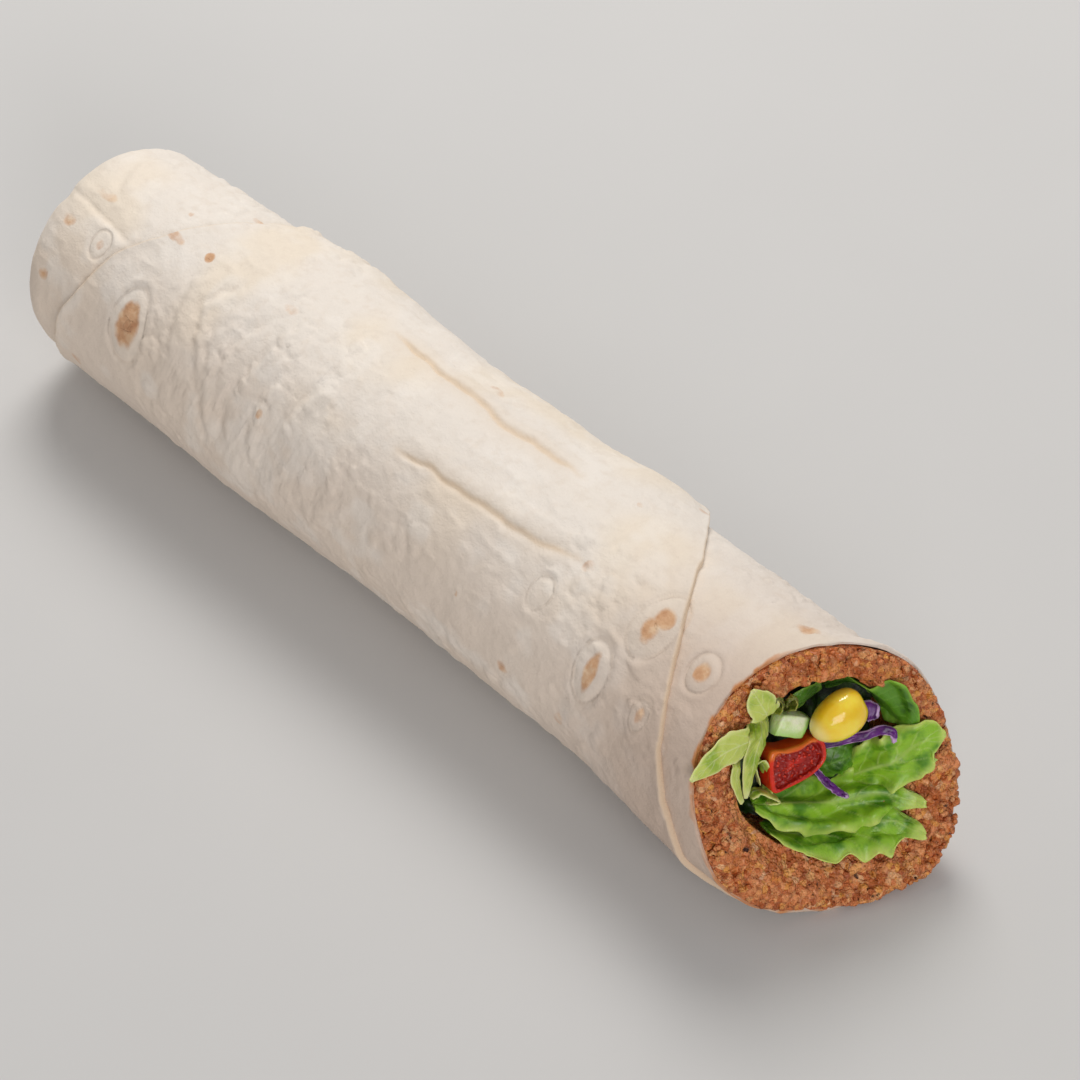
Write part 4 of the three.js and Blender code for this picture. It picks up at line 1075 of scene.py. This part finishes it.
LEAF_COLORS = {             # body, edge, veins and dark patches
    "lettuce": ((146, 194, 44), (202, 226, 112), (210, 230, 138), (78, 136, 16)),
    "dark_lettuce": ((88, 142, 28), (134, 184, 58), (132, 178, 72), (42, 86, 12)),
    "pale_lettuce": ((196, 210, 100), (222, 230, 150), (232, 238, 186), (146, 176, 46)),
    "olive_lettuce": ((126, 132, 44), (168, 166, 84), (168, 168, 92), (72, 82, 20)),
}
LETTUCE = {
    "leaf_right": dict(
        path=[(4.5, -7.8, -10), (9.4, -4.5, -5.1), (14.2, -1.9, -0.5),
              (18.8, 1.2, 2.2), (23.3, 0.9, 2.7)],
        widths=[6.6, 7.9, 11.6, 11.4, 8, 1], tilts=[17, 21, 10, 0, 0],
        cup=0.05, frill=1.2, waves=4.5, pleats=0.55, seed=1),
    "leaf_middle": dict(
        path=[(-14.4, -1.5, -3.8), (-8.5, -4.8, -5.2), (1, -8.8, -5.6),
              (10.2, -9.4, -2.8), (16.9, -11.6, 0.6)],
        widths=[3, 8.4, 11, 11.5, 9.4, 1], tilts=[54, 45, 43, 40, 0],
        cup=0.09, frill=1.3, waves=5, pleats=0.8, seed=2),
    "leaf_lower": dict(
        path=[(-13.4, -7.4, -3.8), (-7, -11.8, -4), (1.7, -13.5, -3.3),
              (9.8, -14.6, -0.9), (15, -16.7, 1.4)],
        widths=[4.8, 10.4, 13, 13, 10.5, 1], tilts=[66, 72, 66, 53, 31],
        cup=0.05, frill=1.2, waves=5, pleats=0.7, seed=3),
}
DARK_LETTUCE = {
    "leaf_top": dict(
        path=[(6.8, 13, -9.8), (10.3, 14.8, -5.1), (14.5, 12.6, -2.9),
              (16.9, 7.9, -1.6), (16.2, 4.2, -1.6)],
        widths=[3.9, 5, 6.8, 7.2, 5.4], tilts=[-15, -40, -52, -53, -58],
        cup=0.06, frill=0.4, waves=2.5, seed=4),
    "leaf_blade": dict(
        path=[(-6.7, 10.7, -9), (-1.5, 14.1, -6), (4.5, 15.4, -6.2)],
        widths=[2.7, 3.6, 2.8], tilts=[-20, -16, -20], cup=0.1, frill=0.2, waves=2, seed=5),
    "leaf_inner": dict(
        path=[(1.8, -2.4, -9.5), (5.5, -1, -7.1), (11.3, -1.4, -7.4)],
        widths=[6, 7.5, 4.3], tilts=[20, 0, 0], cup=0.2, frill=0.2, waves=2, seed=6),
}
PALE_LETTUCE = {
    "leaf_left_tip": dict(
        path=[(-11.3, 11.5, -8), (-15, 15, -1.2), (-20.3, 15.5, 2.4),
              (-24.5, 14, 2.5), (-28.2, 12.5, 1.3)],
        widths=[4, 6.2, 6.1, 4, 0.8], tilts=[-30, -9, 6, 3, 0], cup=0.07, frill=0.5, waves=3, seed=7),
    "leaf_left_upright": dict(
        path=[(-8.8, 12.5, -9), (-10.1, 15.9, -3.9), (-11.1, 19.4, 0.1),
              (-12.3, 22.9, 2.2), (-12.9, 25.1, 2.5)],
        widths=[3.5, 4.4, 6, 4.8, 0.8], tilts=[19, 11, 4, 0, 0], cup=0.06, frill=0.35, waves=2, seed=8),
    "leaf_left_folded": dict(
        path=[(-8.5, 16.5, -6.2), (-11.1, 15.2, -2.3), (-13.5, 12.1, -0.6),
              (-15.3, 8.1, -0.5), (-17.3, 3.2, -0.4)],
        widths=[4.1, 6, 5.7, 4.4, 1], tilts=[-39, -4, 21, 30, 24], cup=0.16, frill=0.3, waves=2, seed=9),
    "leaf_left_stem": dict(
        path=[(-15.5, 13, -4.8), (-18, 11.6, -1.2), (-19.3, 9.1, 0.7), (-19, 5.9, 0.9), (-18.5, 3, 0.8)],
        widths=[2.3, 2.3, 2.7, 2.2, 1], tilts=[-20, 0, 31, 40, 44],
        cup=0.12, frill=0.1, waves=2, seed=10),
}
CURLS = {                   # path and width
    "curl_left": (
        [(-10.6, -2.6, -9), (-11, 0, -4), (-11.2, 4.5, -2), (-11.8, 8, -2), (-13, 7.4, -2.6),
         (-12.7, 2.9, -3)], 3.2),
    "curl_low": (
        [(-15.4, 1.6, -2.2), (-13.5, 2, -2.2), (-10.8, -0.2, -2.2), (-10.3, -1.5, -2),
         (-12.2, -1.2, -2)], 2.8),
}
OLIVE_CURLS = {
    "olive_curl_a": (
        [(-9.2, 20.2, 0.6), (-8.4, 21.4, 1), (-7.3, 20, 0.6), (-7.1, 17.4, -1.5), (-7, 14, -7)], 2.6),
    "olive_curl_b": (
        [(-6.2, 18.2, 0), (-5.8, 19.7, 0.7), (-4.6, 19.6, 0.6), (-3.8, 17.4, -0.8), (-4.4, 14, -5)], 2.8),
}
CABBAGE = {
    "cabbage_long": (
        [(0.6, 5.2, -2.8), (5.6, 4.9, -1.8), (9.6, 5.1, -0.4), (12, 5.5, 1), (13.4, 4.7, 1.9),
         (13.2, 2.9, 2.2)], 1.7),
    "cabbage_wedge": ([(9.2, 7.4, -3.6), (11.2, 8.2, -3), (13.2, 7.4, -2.2)], 3.8),
    "cabbage_short": ([(-1.4, 1.2, -2), (-0.2, -1.4, -1.4), (1.4, -3.8, -1), (3.2, -5.8, -1)], 1.4),
}


# ---------------------------------------------------------------- corn, pepper, cucumber
CORN_PLACE, CORN_LEAN = (3.3, 12.4, 1.6), 17
CORN_LENGTH, CORN_WIDTH, CORN_DEPTH = 11.8, 8.4, 7.4
PEPPER_OUTLINE = [
    (-10.6, 9.2), (-7.2, 8.9), (-4, 8.6), (-1.6, 9.1), (0.2, 8), (0.6, 5.6), (-0.2, 3.4), (-3.4, 1.7),
    (-8.4, 1.2), (-11.6, 1.9),
]
PEPPER_FRONT, PEPPER_DEPTH, PEPPER_ROUNDING = 0.2, 5.0, 0.6
CUCUMBER_PLACE, CUCUMBER_LEAN = (-4.8, 12.4, -2.6), -28
CUCUMBER_SIZE = np.array([6.6, 4.6, 4.0])


def placed(u, w, d, lean, place):
    """Points of a piece turned by its lean and set at its place on the cut."""
    lean = radians(lean)
    turned = points_of(u * np.cos(lean) - w * np.sin(lean), u * np.sin(lean) + w * np.cos(lean), d)
    return from_cut(turned + np.array(place))


def corn_kernel():
    """A plump kernel with blunt corners, dented at its broad end and narrower where it grew."""
    ball = ball_points(72, 46)[..., [2, 0, 1]]
    squared = np.sign(ball) * np.abs(ball) ** 0.86
    squared /= np.abs(squared).max()
    taper = 1 + 0.11 * squared[..., 0] - 0.1 * squared[..., 0] ** 2
    dent = 1 - 0.07 * smooth(0.75, 1, squared[..., 0]) * hill(squared[..., 1], 0, 0.5)
    u = squared[..., 0] * CORN_LENGTH / 2 * dent
    w = squared[..., 1] * taper * CORN_WIDTH / 2
    d = squared[..., 2] * taper * CORN_DEPTH / 2 + 0.5 * (1 - squared[..., 0] ** 2)
    pale = smooth(-0.55, -0.95, squared[..., 0])
    points = placed(u, w, d, CORN_LEAN, CORN_PLACE)
    return ring_mesh("corn_kernel_skin", points, fields={"pale": pale})


def closed_curve(points, count):
    """Even points on a smooth closed curve through the given ones."""
    p = np.asarray(points, float)
    around = np.vstack([p[-2:], p, p[:3]])
    t = np.linspace(0, 1, 40, endpoint=False)[:, None]
    parts = []
    for i in range(len(p)):
        a, b, c, d = around[i + 1:i + 5]
        square, cube = 2 * a - 5 * b + 4 * c - d, 3 * b - a - 3 * c + d
        parts.append(0.5 * (2 * b + (c - a) * t + square * t ** 2 + cube * t ** 3))
    curve = np.vstack(parts + [parts[0][:1]])
    length = np.concatenate([[0], np.cumsum(np.linalg.norm(np.diff(curve, axis=0), axis=1))])
    at = np.linspace(0, length[-1], count, endpoint=False)
    return points_of(*(np.interp(at, length, curve[:, k]) for k in range(2)))


def red_pepper():
    """A slice of red pepper: a rounded rim of skin round a sunken, seedy face."""
    outline = closed_curve(PEPPER_OUTLINE, 150)[::-1]
    middle = outline.mean(0)
    rows, flesh, orange = [], [], []

    def add(inset, d, is_flesh):
        reach = np.linalg.norm(outline - middle, axis=1, keepdims=True)
        at = middle + (outline - middle) * (1 - inset / reach)
        rows.append(np.column_stack([at, np.full(len(at), d)]))
        flesh.append(np.full(len(at), is_flesh))
        top = smooth(7.6, 8.6, at[:, 1]) * smooth(-0.4, -1.6, at[:, 0])
        orange.append(top * (0.85 if d > -1 else 0.3))

    back = PEPPER_FRONT - PEPPER_DEPTH
    add(2.0, back, 0.8)
    add(0.6, back, 0.2)
    for d in np.linspace(back + 0.5, PEPPER_FRONT - PEPPER_ROUNDING, 14):
        add(0.0, d, 0.0)
    for around in np.linspace(0.1, pi, 12):
        inset, out = PEPPER_ROUNDING * (1 - np.cos(around)), PEPPER_ROUNDING * (1 - np.sin(around))
        add(inset, PEPPER_FRONT - out, smooth(1.4, 2.6, around))
    for inset in np.linspace(1.3, 5.4, 26):
        add(np.minimum(inset, 3.8), PEPPER_FRONT - 0.9, 1.0)
    grid = np.array(rows)
    inner = np.array(flesh)
    distance, number = grains(grid, 0.85, 15)
    seeds = dome(distance, 0.6) * number
    grid[..., 2] += (0.45 * seeds - 0.15) * smooth(0.9, 1, inner) + 0.15 * noise(grid, 2.0, 8) * inner
    fields = {"flesh": inner, "orange": np.array(orange)}
    return ring_mesh("red_pepper_slice", from_cut(grid), fields=fields)


def cucumber_block():
    """A small block of cucumber with blunt, slightly uneven edges."""
    ball = ball_points(64, 40)
    cube = ball / np.abs(ball).max(-1, keepdims=True)
    block = lerp(cube, ball, 0.3)
    block /= np.abs(block).max()
    at = block * CUCUMBER_SIZE / 2
    at = at + 0.12 * noise(at, 1.6, 5)[..., None] * ball
    u, w, d = at[..., 0] + 0.14 * at[..., 1], at[..., 1], at[..., 2]
    rind = np.maximum(smooth(0.5, 0.95, block[..., 0]), 0.6 * smooth(0.2, -0.95, block[..., 1]))
    points = placed(u, w, d, CUCUMBER_LEAN, CUCUMBER_PLACE)
    return ring_mesh("cucumber_flesh", points, fields={"rind": rind})


# ---------------------------------------------------------------- making the pieces
bread = bread_material()
paste = paste_material()
dress(inner_turns(), bread, "flatbread")
dress(outer_turn(), bread, "flatbread")
dress(bulgur_paste(), paste, "bulgur_paste")
dress(crumbs(), paste, "bulgur_paste")
dress(salad_core(), core_material(), "salad")

fresh, dark, pale, olive = (leaf_material(name, *colors) for name, colors in LEAF_COLORS.items())
for leaves, look in ((LETTUCE, fresh), (DARK_LETTUCE, dark), (PALE_LETTUCE, pale)):
    for name, shape in leaves.items():
        dress(leaf(name, **shape), look, "salad")
for curls, look in ((CURLS, pale), (OLIVE_CURLS, olive)):
    for name, (path, width) in curls.items():
        dress(shred(name, path, width, 0.35, (80, 80)), look, "salad")
purple = cabbage_material()
for k, (name, (path, width)) in enumerate(CABBAGE.items()):
    dress(shred(name, path, width, 0.8, (0, 15, 0), seed=k), purple, "salad")

dress(corn_kernel(), corn_material(), "corn_kernel")
dress(red_pepper(), pepper_material(), "red_pepper")
dress(cucumber_block(), cucumber_material(), "cucumber")


# ---------------------------------------------------------------- floor, light and camera
FLOOR_SIDE = 6000.0
LIGHTS = [                  # name, direction, distance and size in metres, power, colour
    ("key", (-0.45, 0.42, 0.8), 1.0, 0.45, 6.4, (1.0, 0.98, 0.95)),
    ("fill", (0.85, -0.5, 0.5), 1.2, 0.7, 5.5, (1.0, 0.98, 0.97)),
]
LIGHTS_AIM = (0.02, 0, 0.02)
WORLD_LIGHT = 0.33


def floor():
    """The plain white ground of the photo's light."""
    half = FLOOR_SIDE / 2
    corners = [(-half, -half, 0), (half, -half, 0), (half, half, 0), (-half, half, 0)]
    obj = make_mesh("floor", corners, [(0, 1, 2, 3)])
    n = Nodes("floor", 0.9, Specular_IOR_Level=0.1)
    color = n.mix(n.noise(60, 2), (206, 205, 204), (210, 209, 208))
    obj.data.materials.append(n.finish(color))


def area_light(name, direction, distance, size, power, color):
    light = bpy.data.lights.new(name, "AREA")
    light.size = size
    light.energy = power
    light.color = color
    obj = bpy.data.objects.new(name, light)
    away = Vector(direction).normalized()
    obj.location = Vector(LIGHTS_AIM) + away * distance
    obj.rotation_euler = away.to_track_quat("Z", "Y").to_euler()
    bpy.context.scene.collection.objects.link(obj)


CAMERA_AZIMUTH, CAMERA_ELEVATION, CAMERA_DISTANCE = 45.2, 48.0, 800.0
LENS = 138.6
AIM = np.array([23.6, 0, AXIS_HEIGHT])
AIM_RISE = 3.1              # across the roll, at right angles to the line of sight


def camera():
    a, e = radians(CAMERA_AZIMUTH), radians(CAMERA_ELEVATION)
    back = np.array([np.sin(a) * np.cos(e), -np.cos(a) * np.cos(e), np.sin(e)])
    right = np.array([np.cos(a), np.sin(a), 0])
    up = np.cross(back, right)
    across = np.array([0, back[2], -back[1]])
    target = AIM + AIM_RISE * across / np.linalg.norm(across)
    place = (target + CAMERA_DISTANCE * back) * 0.001
    data = bpy.data.cameras.new("camera")
    data.lens = LENS
    data.sensor_width = 36
    data.clip_start = 0.01
    obj = bpy.data.objects.new("camera", data)
    obj.matrix_world = Matrix([
        [right[0], up[0], back[0], place[0]], [right[1], up[1], back[1], place[1]],
        [right[2], up[2], back[2], place[2]], [0, 0, 0, 1],
    ])
    bpy.context.scene.collection.objects.link(obj)
    bpy.context.scene.camera = obj


floor()
for light in LIGHTS:
    area_light(*light)
world = bpy.data.worlds.new("studio")
world.use_nodes = True
background = world.node_tree.nodes["Background"]
background.inputs["Color"].default_value = (1, 0.99, 0.98, 1)
background.inputs["Strength"].default_value = WORLD_LIGHT
bpy.context.scene.world = world
camera()
bpy.context.scene.view_settings.view_transform = "Standard"
